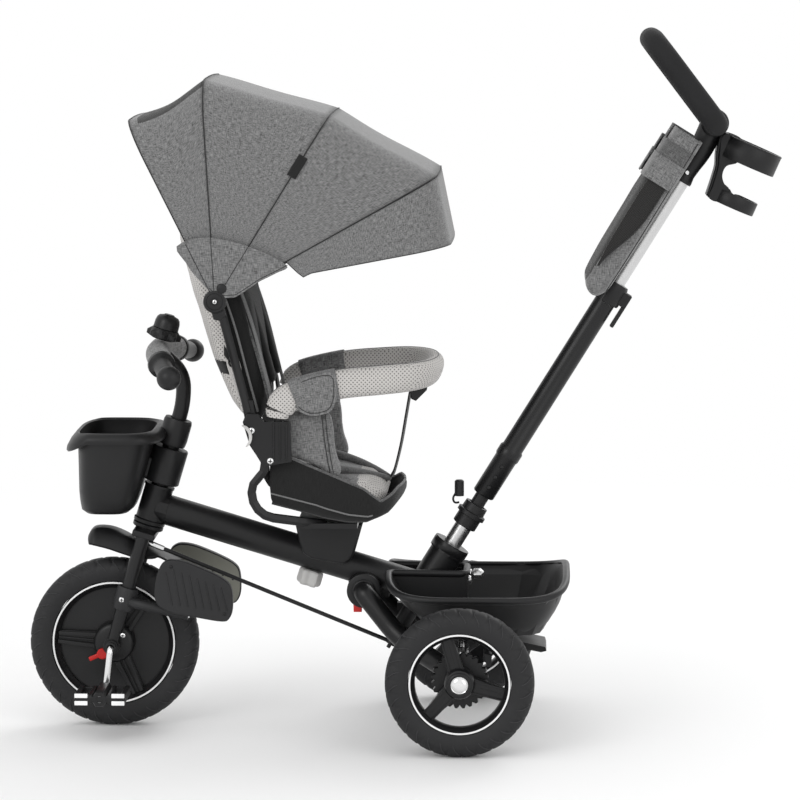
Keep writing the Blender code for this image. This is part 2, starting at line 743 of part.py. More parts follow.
def footrest(tag, side):
    """Footrest plate, stored upright."""
    outline = [(-360, 205), (-360, 226), (-353, 252), (-345, 260), (-334, 262), (-315, 258),
               (-278, 244), (-256, 231), (-248, 217), (-248, 190), (-252, 174), (-263, 170),
               (-299, 176)]
    low, high = sorted((side * 71.2, side * 87))
    plate = side_plate(outline, low, high)
    return finish(plate, f"footrest_{tag}", "black_plastic")


def crank():
    """Axle, crank arms and pedal spindles, bent from one bar."""
    path = [(-437, -150, 66), (-437, -66, 66), (-430, -66, 126), (-430, 66, 126),
            (-423, 66, 186), (-423, 150, 186)]
    return finish(tube(path, 5, 3), "crank", "chrome")


def pedal(tag, side):
    centre = Vector((-437, side * 112, 66)) if side < 0 else Vector((-423, side * 112, 186))
    half = Vector((38, 38, 8))
    plate = box(centre - half, centre + half)
    barrel = cross_rod(centre, centre.y - 38.5, centre.y + 38.5, 14, 12)
    bore = cross_rod(centre, side * 60, side * 150.6, 5.4, 16)
    return finish(cut(join(plate, barrel), bore), f"pedal_{tag}", "black_plastic")


def clutch_lever():
    """Red lever on the front hub that frees the wheel from the pedals."""
    centre = Vector((-446, 0, 111))
    knob = cross_rod(centre, -32, -22.4, 8, 16)
    arm = rod((-446, -28, 111), (-464, -28, 103), 3.5, 10)
    return finish(join(knob, arm), "clutch_lever", "red_plastic")


# ---------------------------------------------------------------- seat

def seat_plan(inset):
    """Block over the seat's outline from above, which rounds its front."""
    half = SEAT_HALF - inset
    front = 3 - inset
    right = [(-240, half), (-62, half), (front - 36, half * 0.95), (front - 15, half * 0.74),
             (front - 4, half * 0.42), (front, half * 0.12)]
    outline = right + [(x, -y) for x, y in reversed(right)]
    return loft([[Vector((x, y, z)) for x, y in outline] for z in (290, 540)])


def seat_shell():
    """Hard pan under the seat."""
    outline = [(-186, 425), (-155, 418), (-91, 391), (-52, 374), (-28, 354), (-13, 362),
               (-4, 371), (3, 368), (0, 352), (-16, 337), (-46, 326), (-75, 326), (-107, 330),
               (-186, 352)]
    inside = [(-181, 440), (-181, 357), (-107, 335), (-74, 331), (-48, 331), (-23, 341),
              (-7, 354), (-7, 440)]
    body = boolean(side_plate(outline, -SEAT_HALF, SEAT_HALF), "INTERSECT", [seat_plan(0)])
    hollow = boolean(side_plate(inside, -SEAT_HALF, SEAT_HALF), "INTERSECT", [seat_plan(4)])
    return finish(cut(body, hollow), "seat_shell", "black_plastic")


def seat_cushion():
    """Seat pad with raised sides."""
    outline = [(-180.5, 357.6), (-107, 335.6), (-74, 331.6), (-48.2, 331.6), (-23.3, 341.7),
               (-7, 355), (-10, 366), (-44, 388), (-86, 406), (-92, 440), (-98, 484),
               (-120, 484), (-150, 450), (-180.5, 440)]
    scoop = [(-163, 520), (-158, 390), (-100, 376), (-52, 371), (-6, 362), (10, 520)]
    half = SEAT_HALF - 4.6
    body = boolean(side_plate(outline, -half, half), "INTERSECT", [seat_plan(4.6)])
    hollow = side_plate(scoop, -half + 22, half - 22)
    return finish(cut(body, hollow), "seat_cushion", "grey_fabric")


def seat_frame():
    """Turntable plate, side tubes, hinge brackets and the bumper bar's sockets."""
    plate = rod((SEAT_X, 0, 312.4), (SEAT_X, 0, 322), 45, 20)
    tie = box((-150, -120, 315), (-62, 120, 322.5))
    pieces = [tie]
    for side in (-1, 1):
        y = side * (SEAT_HALF + 9)
        pieces.append(tube(rounded([(-196, y, 440), (-194, y, 400), (-214, y, 384),
                                    (-214, y, 356), (-196, y, 335),
                                    (-150, side * 125, 327), (-110, side * 100, 319)], 14, 2),
                           7, 1))
        low, high = sorted((side * (SEAT_HALF + 1), side * (SEAT_HALF + 17)))
        pieces.append(side_plate([(-226, 474), (-222, 484), (-204, 484), (-196, 474),
                                  (-158, 474), (-156, 416), (-196, 410), (-216, 440)],
                                 low, high))
    body = join(plate, *pieces)
    cutters = []
    for side in (-1, 1):
        cutters.append(rod((-176, side * 139, 400), (-176, side * 139, 500), 6.3, 16))
        low, high = sorted((side * (SEAT_HALF + 5), side * (SEAT_HALF + 13)))
        cutters.append(box((-240, low, 452), (-199, high, 500)))
    return finish(cut(body, *cutters), "seat_frame", "black_paint")


def recline_lever():
    """Light lever behind the bracket that frees the backrest."""
    y = -(SEAT_HALF + 22)
    blade = side_plate([(-226, 466), (-219, 468), (-212, 456), (-214, 444), (-221, 441),
                        (-217, 454)], y - 3, y + 3)
    boss = cross_rod((-214, 0, 458), y - 3, -(SEAT_HALF + 17.4), 5, 14)
    return finish(join(blade, boss), "recline_lever", "light_plastic")


def bumper_bar():
    """Padded bar in front of the child; its prongs drop into the seat's sockets."""
    half_path = [(-176, 139, 478), (-172, 139, 494), (-150, 136, 512), (-90, 130, 527),
                 (-30, 124, 533), (12, 108, 536), (38, 66, 537), (46, 0, 537)]
    corners = half_path + [(x, -y, z) for x, y, z in reversed(half_path[:-1])]
    path = rounded(corners, 22, 1)
    loops = []
    for i, point in enumerate(path):
        before, after = path[max(i - 1, 0)], path[min(i + 1, len(path) - 1)]
        along = (after - before).normalized()
        across = along.cross(Vector((0.35, 0, 1))).normalized()
        if abs(along.z) > 0.9:
            across = Vector((0, 1, 0))
        rise = across.cross(along).normalized()
        tall = 21 if 2 < i < len(path) - 3 else 15
        loop = []
        for step in range(10):
            angle = 2 * math.pi * step / 10
            loop.append(point + across * 13 * math.cos(angle) + rise * tall * math.sin(angle))
        loops.append(loop)
    bar = loft(loops)
    prongs = [rod((-176, side * 139, 426), (-176, side * 139, 490), 6, 10) for side in (-1, 1)]
    return finish(join(bar, *prongs), "bumper_bar", "light_mesh")


def crotch_strap():
    """Strap and buckle from the bumper bar to the seat's front edge."""
    top, bottom = Vector((12, 0, 506)), Vector((-13, 0, 383))
    lean = math.atan2(top.x - bottom.x, top.z - bottom.z)
    middle = (top + bottom) / 2
    half = Vector((1.6, 14, (top - bottom).length / 2))
    strap = box(middle - half, middle + half, Matrix.Rotation(lean, 4, "Y"))
    buckle_middle = Vector((22, 0, 500))
    half = Vector((11, 16, 5))
    buckle = box(buckle_middle - half, buckle_middle + half, Matrix.Rotation(-0.9, 4, "Y"))
    return finish(join(strap, buckle), "crotch_strap", "grey_fabric")


# ---------------------------------------------------------------- backrest and canopy

def back_frame():
    """Bent tube behind the backrest, with the canopy's hubs."""
    right = [(RECLINE.x - 4.6, SEAT_HALF + 9, RECLINE.z + 15), (-262, 134, 652), (-300, 132, 802)]
    corners = [Vector(point) for point in right]
    corners += [Vector((x, -y, z)) for x, y, z in reversed(right)]
    bow = tube(rounded(corners, 34, 3), 6.5)
    pieces = []
    for side in (-1, 1):
        low, high = sorted((side * (SEAT_HALF + 5.4), side * (SEAT_HALF + 12.6)))
        pieces.append(cross_rod(RECLINE, low, high, 9, 14))
        pieces.append(side_plate([(-222, 470), (-206, 470), (-212, 505), (-228, 505)], low, high))
        low, high = sorted((side * 133, side * 141.4))
        pieces.append(cross_rod(HUB, low, high, 14, 14))
        low, high = sorted((side * 139, side * 184))
        pieces.append(cross_rod(HUB, low, high, 4, 10))
        low, high = sorted((side * 178, side * 187))
        pieces.append(cross_rod(HUB, low, high, 13, 14))
    return finish(join(bow, *pieces), "back_frame", "black_paint")


def back_pad():
    """Padded backrest between the frame's tubes."""
    loops = []
    for z, rear, front, half in ((466, -214, -198, 96), (480, -224, -196, 112),
                                 (560, -258, -203, 122), (660, -292, -222, 124),
                                 (740, -312, -250, 122), (778, -318, -270, 114),
                                 (787, -306, -282, 98)):
        middle = Vector(((rear + front) / 2, 0, z))
        loops.append(oval(middle, (front - rear) / 2, half, 3.5, 16))
    return finish(loft(loops), "back_pad", "light_mesh")


def arch(lean, length, half, corner, lift=0.0, start=0.0, steps=4):
    """Points over a canopy bow, from one hub to the other."""
    up = Vector((math.sin(math.radians(lean)), 0, math.cos(math.radians(lean))))
    low = HUB + up * start
    top = HUB + up * (length + lift)
    side = Vector((0, 1, 0))
    leg = [low.lerp(top - up * corner, part / 3) - side * half for part in range(4)]
    bend = []
    for step in range(1, steps):
        angle = math.pi / 2 * step / steps
        bend.append(top - up * corner * (1 - math.sin(angle))
                    - side * (half - corner * (1 - math.cos(angle))))
    middle = [top - side * (half - corner), top - side * (half - corner) * 0.4 + up * 2]
    left = leg + bend + middle
    right = [Vector((point.x, -point.y, point.z)) for point in reversed(left)]
    return left + right


def rib(name):
    """A canopy bow with an eye at each hub."""
    lean, length, half = RIBS[name]
    bow = tube(arch(lean, length, half, 52, start=8, steps=3), RIB_RADIUS, 1)
    eyes = [turned(HUB + Vector((0, side * half, 0)), (0, side, 0),
                   [(11, 4.1), (11, -4.1), (4.5, -4.1), (4.5, 4.1)], 10, ring=True)
            for side in (-1, 1)]
    return finish(join(bow, *eyes), name, "black_paint")


def canopy_panel(name, first, second):
    """Cloth from one bow to the next, pulled in a little between them."""
    rows = []
    count = 4
    lean_a, length_a, _ = RIBS[first]
    lean_b, length_b, _ = RIBS[second]
    room = 0.25
    for step in range(count + 1):
        part = step / count
        lean = (lean_a + room) * (1 - part) + (lean_b - room) * part
        length = length_a * (1 - part) + length_b * part
        sag = 16 * math.sin(math.pi * part)
        rows.append(arch(lean, length, CLOTH_HALF, CLOTH_CORNER, 7 - sag, 30))
    return finish(sheet(rows, 1.4), name, "grey_fabric")


def visor():
    """Cloth brim that hangs from the front bow."""
    lean, length, _ = RIBS["rib_front"]
    edge = arch(lean + 0.4, length, CLOTH_HALF, CLOTH_CORNER, 7, length * 0.36)
    rows = []
    for step in range(4):
        row = []
        for point in edge:
            reach = min(1.0, (point - HUB - Vector((0, point.y, 0))).length / length)
            row.append(point + Vector((0.2, 0, -0.98)) * 96 * reach ** 0.6 * step / 3)
        rows.append(row)
    return finish(sheet(rows, 1.4), "visor", "grey_fabric")


# ---------------------------------------------------------------- assembly

def hang(name, place, nodes):
    """Parents a moving piece to an empty on its joint's axis."""
    pivot = bpy.data.objects.new(f"pivot_{name}", None)
    PARTS.objects.link(pivot)
    pivot.location = Vector(place) * MM
    bpy.context.view_layer.update()
    for node in nodes:
        thing = bpy.data.objects[node]
        thing.parent = pivot
        thing.matrix_parent_inverse = pivot.matrix_world.inverted()


def build_frame():
    main_frame()
    seat_mount()
    star_knob()
    leg_button()
    rear_legs()
    leg_brace()
    brake_bar()
    for tag, side in (("left", -1), ("right", 1)):
        rear_wheel(tag, side)
    rear_basket()


def build_push_bar():
    for make in (steer_post, outer_tube, tube_clamp, flip_lever, dust_cap, inner_tube, neck,
                 handle_loop, cup_holder, bag, steering_rod):
        make()


def build_front():
    for make in (fork, fender, front_basket, stem, bar_pad, bell, crank, clutch_lever,
                 front_wheel):
        make()
    for tag, side in (("left", -1), ("right", 1)):
        grip(tag, side)
        footrest_arm(tag, side)
        footrest(tag, side)
        pedal(tag, side)


def build_seat():
    for make in (seat_shell, seat_cushion, seat_frame, recline_lever, bumper_bar, crotch_strap,
                 back_frame, back_pad):
        make()
    for name in RIBS:
        rib(name)
    canopy_panel("canopy_rear", "rib_rear", "rib_upright")
    canopy_panel("canopy_middle", "rib_upright", "rib_middle")
    canopy_panel("canopy_front", "rib_middle", "rib_front")
    visor()


def hang_moving_pieces():
    """Hangs each moving group on a pivot at its joint."""
    hang("steering", FRONT_AXLE, ("fork", "fender", "front_basket", "stem", "bar_pad", "bell_base",
                                  "grip_left", "grip_right", "footrest_arm_left",
                                  "footrest_arm_right"))
    hang("front_wheel", FRONT_AXLE, ("tyre_front", "rim_front"))
    hang("crank", FRONT_AXLE, ("crank",))
    hang("push_bar", POST_BASE, ("steer_post", "outer_tube", "tube_clamp", "dust_cap"))
    hang("upper_bar", POST_BASE, ("inner_tube", "neck", "cup_holder", "bag"))
    hang("handle", HANDLE_HUB, ("handle_loop",))
    hang("rear_legs", LEG_PIVOT, ("rear_legs",))
    for tag, side in (("left", -1), ("right", 1)):
        hang(f"rear_wheel_{tag}", REAR_AXLE + Vector((0, side * REAR_TRACK, 0)),
             (f"tyre_rear_{tag}", f"rim_rear_{tag}", f"cap_rear_{tag}"))
    hang("brake", BRAKE_BAR, ("brake_bar",))
    hang("seat", (SEAT_X, 0, 312), ("seat_frame", "seat_shell", "seat_cushion"))
    hang("backrest", RECLINE, ("back_frame", "back_pad", "rib_rear"))
    hang("bow_upright", HUB, ("rib_upright", "canopy_rear"))
    hang("bow_middle", HUB, ("rib_middle", "canopy_middle"))
    hang("bow_front", HUB, ("rib_front", "canopy_front", "visor"))


def build():
    clear_scene()
    build_frame()
    build_push_bar()
    build_front()
    build_seat()
    hang_moving_pieces()
    bpy.context.view_layer.update()


build()
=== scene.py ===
"""Looks of the children's tricycle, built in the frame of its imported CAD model."""
import math

import bmesh
import bpy
from mathutils import Matrix, Vector


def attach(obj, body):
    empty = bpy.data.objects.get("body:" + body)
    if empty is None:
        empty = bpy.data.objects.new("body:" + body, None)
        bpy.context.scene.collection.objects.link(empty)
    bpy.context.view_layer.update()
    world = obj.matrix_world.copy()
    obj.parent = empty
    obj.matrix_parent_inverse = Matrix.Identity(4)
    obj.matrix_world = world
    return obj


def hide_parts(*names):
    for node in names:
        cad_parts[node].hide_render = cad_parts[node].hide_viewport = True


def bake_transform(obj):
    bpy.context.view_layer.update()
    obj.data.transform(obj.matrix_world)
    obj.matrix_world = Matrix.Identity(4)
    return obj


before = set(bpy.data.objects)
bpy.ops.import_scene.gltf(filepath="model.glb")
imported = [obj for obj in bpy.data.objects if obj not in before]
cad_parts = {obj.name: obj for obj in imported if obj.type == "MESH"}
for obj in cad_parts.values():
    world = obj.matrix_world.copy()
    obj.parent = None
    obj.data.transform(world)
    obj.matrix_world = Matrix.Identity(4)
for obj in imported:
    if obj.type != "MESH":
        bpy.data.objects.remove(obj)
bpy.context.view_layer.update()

MM = 0.001

# Places of the CAD model, in millimetres
FRONT_AXLE = Vector((-430, 0, 126))
REAR_AXLE = Vector((89, 0, 107.5))
REAR_TRACK = 215
STEER_TILT = math.radians(16.3)
STEER_UP = Vector((math.sin(STEER_TILT), 0, math.cos(STEER_TILT)))
STEER_FORWARD = Vector((-math.cos(STEER_TILT), 0, math.sin(STEER_TILT)))
POST_BASE = Vector((58, 0, 250))
POST_TILT = math.radians(31.8)
POST_UP = Vector((math.sin(POST_TILT), 0, math.cos(POST_TILT)))
POST_BACK = Vector((math.cos(POST_TILT), 0, -math.sin(POST_TILT)))
TUBE_FRONT = Vector((-366, 0, 328.7))
TUBE_REAR = Vector((30, 0, 208.7))
LEG_PIVOT = Vector((-56, 0, 210))
HANDLE_HUB = Vector((456, 0, 900))
HUB = Vector((-262, 0, 652))
RIBS = {"rear": (-26.5, 278), "upright": (-3.4, 307), "middle": (31.6, 302), "front": (60.7, 354)}
CLOTH_HALF = 181
CLOTH_CORNER = 62
BAR_PATH = [(-331, -178, 544), (-345, -120, 553), (-360, -42, 562), (-360, 42, 562),
            (-345, 120, 553), (-331, 178, 544)]
SIDES = (("left", -1), ("right", 1))


def steer(along, y=0.0, forward=0.0):
    return FRONT_AXLE + STEER_UP * along + STEER_FORWARD * forward + Vector((0, y, 0))


def post(along, y=0.0, back=0.0):
    return POST_BASE + POST_UP * along + POST_BACK * back + Vector((0, y, 0))


# ---------------------------------------------------------------- materials

class Look:
    """A node material under construction; every call returns a socket or the material."""

    def __init__(self, name, colour, roughness, metallic=0.0, uv=False):
        self.material = bpy.data.materials.new(name)
        self.material.use_nodes = True
        self.nodes = self.material.node_tree.nodes
        self.links = self.material.node_tree.links
        self.shader = self.nodes["Principled BSDF"]
        self.shader.inputs["Base Color"].default_value = (*colour, 1)
        self.shader.inputs["Roughness"].default_value = roughness
        self.shader.inputs["Metallic"].default_value = metallic
        if not metallic:
            self.shader.inputs["Specular IOR Level"].default_value = 0.32
        place = self.nodes.new("ShaderNodeTexCoord")
        self.place = place.outputs["UV" if uv else "Object"]

    def scaled(self, x, y, z=1.0, turn=0.0):
        mapping = self.nodes.new("ShaderNodeMapping")
        mapping.inputs["Scale"].default_value = (x, y, z)
        mapping.inputs["Rotation"].default_value = (0, 0, turn)
        self.links.new(self.place, mapping.inputs["Vector"])
        return mapping.outputs["Vector"]

    def noise(self, scale, detail=3.0, vector=None, distortion=0.0):
        node = self.nodes.new("ShaderNodeTexNoise")
        node.inputs["Scale"].default_value = scale
        node.inputs["Detail"].default_value = detail
        node.inputs["Distortion"].default_value = distortion
        self.links.new(vector or self.place, node.inputs["Vector"])
        return node.outputs["Fac"]

    def math(self, operation, first, second=None):
        node = self.nodes.new("ShaderNodeMath")
        node.operation = operation
        for value, socket in zip((first, second), node.inputs):
            if value is None:
                continue
            if isinstance(value, (int, float)):
                socket.default_value = value
            else:
                self.links.new(value, socket)
        return node.outputs[0]

    def ramp(self, factor, *stops):
        node = self.nodes.new("ShaderNodeValToRGB")
        ramp = node.color_ramp
        while len(ramp.elements) < len(stops):
            ramp.elements.new(0.5)
        for element, (position, colour) in zip(ramp.elements, stops):
            element.position = position
            element.color = (*colour, 1)
        self.links.new(factor, node.inputs["Fac"])
        return node.outputs["Color"]

    def colour(self, socket):
        self.links.new(socket, self.shader.inputs["Base Color"])

    def rough(self, factor, low, high):
        node = self.nodes.new("ShaderNodeMapRange")
        node.inputs["To Min"].default_value = low
        node.inputs["To Max"].default_value = high
        self.links.new(factor, node.inputs["Value"])
        self.links.new(node.outputs["Result"], self.shader.inputs["Roughness"])

    def bump(self, height, strength, distance):
        node = self.nodes.new("ShaderNodeBump")
        node.inputs["Strength"].default_value = strength
        node.inputs["Distance"].default_value = distance
        self.links.new(height, node.inputs["Height"])
        self.links.new(node.outputs["Normal"], self.shader.inputs["Normal"])

    def sheen(self, weight):
        self.shader.inputs["Sheen Weight"].default_value = weight
        self.shader.inputs["Sheen Roughness"].default_value = 0.5


def grey(value, warm=0.0):
    return (value * (1 + warm), value, value * (1 - warm))


def moulded(name, value, rough, grain=1400.0, strength=0.12, tint=(1.0, 1.0, 1.06)):
    """Powder coat or moulded plastic: an even colour with a fine grain and slight scuffing."""
    colour = tuple(value * part for part in tint)
    look = Look(name, colour, rough)
    cloud = look.noise(9.0, 4.0)
    look.colour(look.ramp(cloud, (0.3, tuple(c * 0.86 for c in colour)),
                          (0.7, tuple(c * 1.16 for c in colour))))
    look.rough(look.noise(38.0, 4.0), rough - 0.07, rough + 0.08)
    look.bump(look.noise(grain, 2.0), strength, 0.0004)
    return look.material


def melange(name, dark, light, uv=True):
    """Two-tone linen-like weave: short light and dark threads both ways."""
    middle = (dark + light) / 2
    look = Look(name, grey(middle), 0.92, uv=uv)
    if uv:
        warp = look.noise(1.0, 1.0, look.scaled(980, 120))
        weft = look.noise(1.0, 1.0, look.scaled(120, 980))
        fine = look.noise(1.0, 1.0, look.scaled(1900, 1900))
    else:
        warp = look.noise(1.0, 1.0, look.scaled(520, 90, 520))
        weft = look.noise(1.0, 1.0, look.scaled(90, 520, 90))
        fine = look.noise(1100.0, 1.0)
    threads = look.math("ADD", look.math("MULTIPLY", warp, 0.42),
                        look.math("MULTIPLY", weft, 0.38))
    threads = look.math("ADD", threads, look.math("MULTIPLY", fine, 0.2))
    look.colour(look.ramp(threads, (0.36, grey(dark)), (0.5, grey(middle)),
                          (0.64, grey(light))))
    look.bump(threads, 0.45, 0.0006)
    look.sheen(0.25)
    return look.material


def spacer_mesh(name, light, hole, pitch=0.0042):
    """Light 3D mesh with staggered rows of small holes."""
    look = Look(name, grey(light, 0.03), 0.85, uv=True)
    turns = 2 * math.pi / pitch
    split = look.nodes.new("ShaderNodeSeparateXYZ")
    look.links.new(look.scaled(turns, turns, turns, math.pi / 4), split.inputs[0])
    across = look.math("SINE", split.outputs[0])
    down = look.math("SINE", split.outputs[1])
    cells = look.math("MULTIPLY", look.math("ADD", look.math("ADD", across, down), 2.0), 0.25)
    look.colour(look.ramp(cells, (0.62, grey(light, 0.035)), (0.84, grey(hole, 0.03))))
    look.bump(look.math("SUBTRACT", 1.0, cells), 0.7, 0.0012)
    look.sheen(0.2)
    return look.material


def woven(name, value, scale=1400.0, warm=0.0):
    """Narrow webbing or plain cloth with ribs across it."""
    look = Look(name, grey(value, warm), 0.88, uv=True)
    ribs = look.noise(1.0, 2.0, look.scaled(scale, scale * 0.25))
    look.colour(look.ramp(ribs, (0.3, grey(value * 0.6, warm)), (0.7, grey(value * 1.35, warm))))
    look.bump(ribs, 0.5, 0.0007)
    look.sheen(0.15)
    return look.material


def metal(name, value, rough, streak):
    look = Look(name, grey(value), rough, 1.0)
    lines = look.noise(1.0, 3.0, look.scaled(*streak))
    look.rough(lines, max(0.04, rough - 0.04), rough + 0.05)
    look.colour(look.ramp(lines, (0.3, grey(value * 0.96)), (0.7, grey(min(1, value * 1.03)))))
    return look.material


LOOKS = {
    "paint": moulded("powder_coat_black", 0.0075, 0.34, 1900.0, 0.07),
    "plastic": moulded("moulded_black", 0.0085, 0.42, 1500.0, 0.13),
    "soft_plastic": moulded("moulded_charcoal", 0.016, 0.5, 1300.0, 0.16),
    "tyre": moulded("tyre_rubber", 0.0145, 0.62, 900.0, 0.2),
    "tread": moulded("tyre_rubber_edge", 0.028, 0.55, 900.0, 0.2),
    "rim": moulded("rim_black", 0.008, 0.36, 1500.0, 0.1),
    "stripe": moulded("stripe_white", 0.8, 0.35, 1500.0, 0.05, (1, 1, 1)),
    "foam": moulded("foam_charcoal", 0.0105, 0.8, 700.0, 0.5),
    "light_plastic": moulded("moulded_light_grey", 0.5, 0.4, 1500.0, 0.06, (1, 0.99, 0.97)),
    "olive": moulded("rubber_olive", 0.21, 0.75, 1100.0, 0.2, (1, 1, 0.86)),
    "red": moulded("moulded_red", 0.55, 0.32, 1500.0, 0.05, (1, 0.03, 0.025)),
    "reflector": moulded("reflector_white", 0.8, 0.14, 600.0, 0.3, (1, 1, 1)),
    "chrome": metal("chrome_plate", 0.78, 0.12, (60, 60, 60)),
    "zinc": metal("zinc_tube", 0.62, 0.3, (700, 700, 12)),
    "melange": melange("melange_cloth", 0.045, 0.25),
    "melange_dark": melange("melange_cloth_dark", 0.03, 0.15),
    "melange_foam": melange("melange_sleeve", 0.045, 0.25, uv=False),
    "light_mesh": spacer_mesh("spacer_mesh_light", 0.5, 0.16),
    "light_cloth": woven("cloth_light", 0.5, 1500.0, 0.03),
    "black_mesh": spacer_mesh("mesh_black", 0.016, 0.005, 0.0026),
    "black_cloth": woven("cloth_black", 0.0075),
    "webbing": woven("webbing_black", 0.009, 2200.0),
    "grey_webbing": woven("webbing_grey", 0.15, 2200.0),
    "seam": woven("seam_thread_dark", 0.022, 2400.0),
}


# ---------------------------------------------------------------- shape helpers

def frame_along(axis):
    return Vector(axis).to_track_quat("Z", "Y").to_matrix().to_4x4()


def box_uv(mesh):
    """UVs in metres, projected along each face's main direction."""
    layer = mesh.uv_layers.new(name="cloth")
    for face in mesh.polygons:
        n = [abs(part) for part in face.normal]
        axis = n.index(max(n))
        first, second = [k for k in range(3) if k != axis]
        for index in face.loop_indices:
            co = mesh.vertices[mesh.loops[index].vertex_index].co
            layer.data[index].uv = (co[first], co[second])


def made(name, bm, look, body, replaces=(), angle=42, scale=True):
    """Turns a bmesh in millimetres into a named, coloured piece that rides on a body."""
    bmesh.ops.recalc_face_normals(bm, faces=bm.faces)
    if scale:
        bmesh.ops.scale(bm, vec=Vector((MM, MM, MM)), verts=bm.verts)
    mesh = bpy.data.meshes.new(name)
    bm.to_mesh(mesh)
    bm.free()
    thing = bpy.data.objects.new(name, mesh)
    bpy.context.scene.collection.objects.link(thing)
    for one in (look if isinstance(look, (list, tuple)) else [look]):
        mesh.materials.append(LOOKS[one])
    mesh.shade_smooth()
    mesh.set_sharp_from_angle(angle=math.radians(angle))
    if not mesh.uv_layers:
        box_uv(mesh)
    if body:
        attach(thing, body)
    if replaces:
        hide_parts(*replaces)
    return thing


def applied(thing):
    """Applies a piece's modifiers to its mesh."""
    bpy.context.view_layer.update()
    graph = bpy.context.evaluated_depsgraph_get()
    mesh = bpy.data.meshes.new_from_object(thing.evaluated_get(graph))
    thing.modifiers.clear()
    thing.data = mesh
    return thing


def rounded(corners, reach=30, steps=6):
    corners = [Vector(corner) for corner in corners]
    path = [corners[0]]
    for before, corner, after in zip(corners, corners[1:], corners[2:]):
        room = min(reach, (corner - before).length / 2, (after - corner).length / 2)
        start = corner + (before - corner).normalized() * room
        end = corner + (after - corner).normalized() * room
        for step in range(steps + 1):
            part = step / steps
            path.append(start.lerp(corner, part).lerp(corner.lerp(end, part), part))
    path.append(corners[-1])
    return path


def smooth_path(points, per=6, closed=False):
    """Catmull-Rom points through a list of points."""
    points = [Vector(point) for point in points]
    count = len(points)
    path = []
    spans = count if closed else count - 1
    for i in range(spans):
        if closed:
            a, b, c, d = (points[(i + k) % count] for k in (-1, 0, 1, 2))
        else:
            a, b = points[max(i - 1, 0)], points[i]
            c, d = points[i + 1], points[min(i + 2, count - 1)]
        for step in range(per):
            t = step / per
            path.append(0.5 * ((2 * b) + (c - a) * t + (2 * a - 5 * b + 4 * c - d) * t * t
                               + (3 * b - a - 3 * c + d) * t * t * t))
    if not closed:
        path.append(points[-1])
    return path


def skin(bm, loops, closed=False, caps=True):
    """Joins loops of equal length into a tube-like skin."""
    rows = [[bm.verts.new(point) for point in loop] for loop in loops]
    count = len(rows[0])
    pairs = list(zip(rows, rows[1:]))
    if closed:
        pairs.append((rows[-1], rows[0]))
    for row, following in pairs:
        for i in range(count):
            after = (i + 1) % count
            bm.faces.new((row[i], row[after], following[after], following[i]))
    if caps and not closed:
        bm.faces.new(reversed(rows[0]))
        bm.faces.new(rows[-1])


def path_loops(path, radius, sides=20, tall=None, round_ends=False):
    """Circles, or ovals tall times higher, carried along a path without twisting."""
    path = [Vector(point) for point in path]
    loops = []
    normal = None
    for i, point in enumerate(path):
        along = (path[min(i + 1, len(path) - 1)] - path[max(i - 1, 0)]).normalized()
        if normal is None:
            guide = Vector((0, 1, 0)) if abs(along.y) < 0.8 else Vector((0, 0, 1))
            normal = (guide - along * guide.dot(along)).normalized()
        else:
            normal = (normal - along * normal.dot(along)).normalized()
        other = along.cross(normal)
        size = radius[i] if isinstance(radius, (list, tuple)) else radius
        high = size * (tall or 1.0)
        loops.append([point + normal * size * math.cos(2 * math.pi * k / sides)
                      + other * high * math.sin(2 * math.pi * k / sides) for k in range(sides)])
    if round_ends:
        for place, toward in ((0, 1), (-1, -2)):
            away = (path[place] - path[toward]).normalized()
            size = radius[place] if isinstance(radius, (list, tuple)) else radius
            extra = []
            for k in range(1, 5):
                angle = math.pi / 2 * k / 4.2
                extra.append([path[place] + (p - path[place]) * math.cos(angle)
                              + away * size * math.sin(angle) for p in loops[place]])
            loops = list(reversed(extra)) + loops if place == 0 else loops + extra
    return loops


def tube(name, path, radius, look, body, sides=24, replaces=(), tall=None, round_ends=False):
    bm = bmesh.new()
    skin(bm, path_loops(path, radius, sides, tall, round_ends))
    return made(name, bm, look, body, replaces)


def rod(name, start, end, radius, look, body, sides=32, bevel=0.8, replaces=()):
    """A straight bar with eased ends."""
    start, end = Vector(start), Vector(end)
    length = (end - start).length
    ease = min(bevel, radius / 2, length / 3)
    profile = [(0, 0), (radius - ease, 0), (radius, ease), (radius, length - ease),
               (radius - ease, length), (0, length)]
    return turned(name, start, end - start, profile, look, body, sides, replaces)


def turned_into(bm, centre, axis, profile, steps=64, ring=False):
    place = Matrix.Translation(Vector(centre)) @ frame_along(axis)
    rows = []
    for k in range(steps):
        angle = 2 * math.pi * k / steps
        c, s = math.cos(angle), math.sin(angle)
        rows.append([place @ Vector((r * c, r * s, h)) for r, h in profile])
    verts = [[bm.verts.new(point) for point in row] for row in rows]
    spans = len(profile) if ring else len(profile) - 1
    for k in range(steps):
        row, following = verts[k], verts[(k + 1) % steps]
        for i in range(spans):
            j = (i + 1) % len(profile)
            bm.faces.new((row[i], row[j], following[j], following[i]))
    bmesh.ops.remove_doubles(bm, verts=bm.verts, dist=1e-4)


def turned(name, centre, axis, profile, look, body, steps=64, replaces=(), ring=False):
    bm = bmesh.new()
    turned_into(bm, centre, axis, profile, steps, ring)
    return made(name, bm, look, body, replaces)


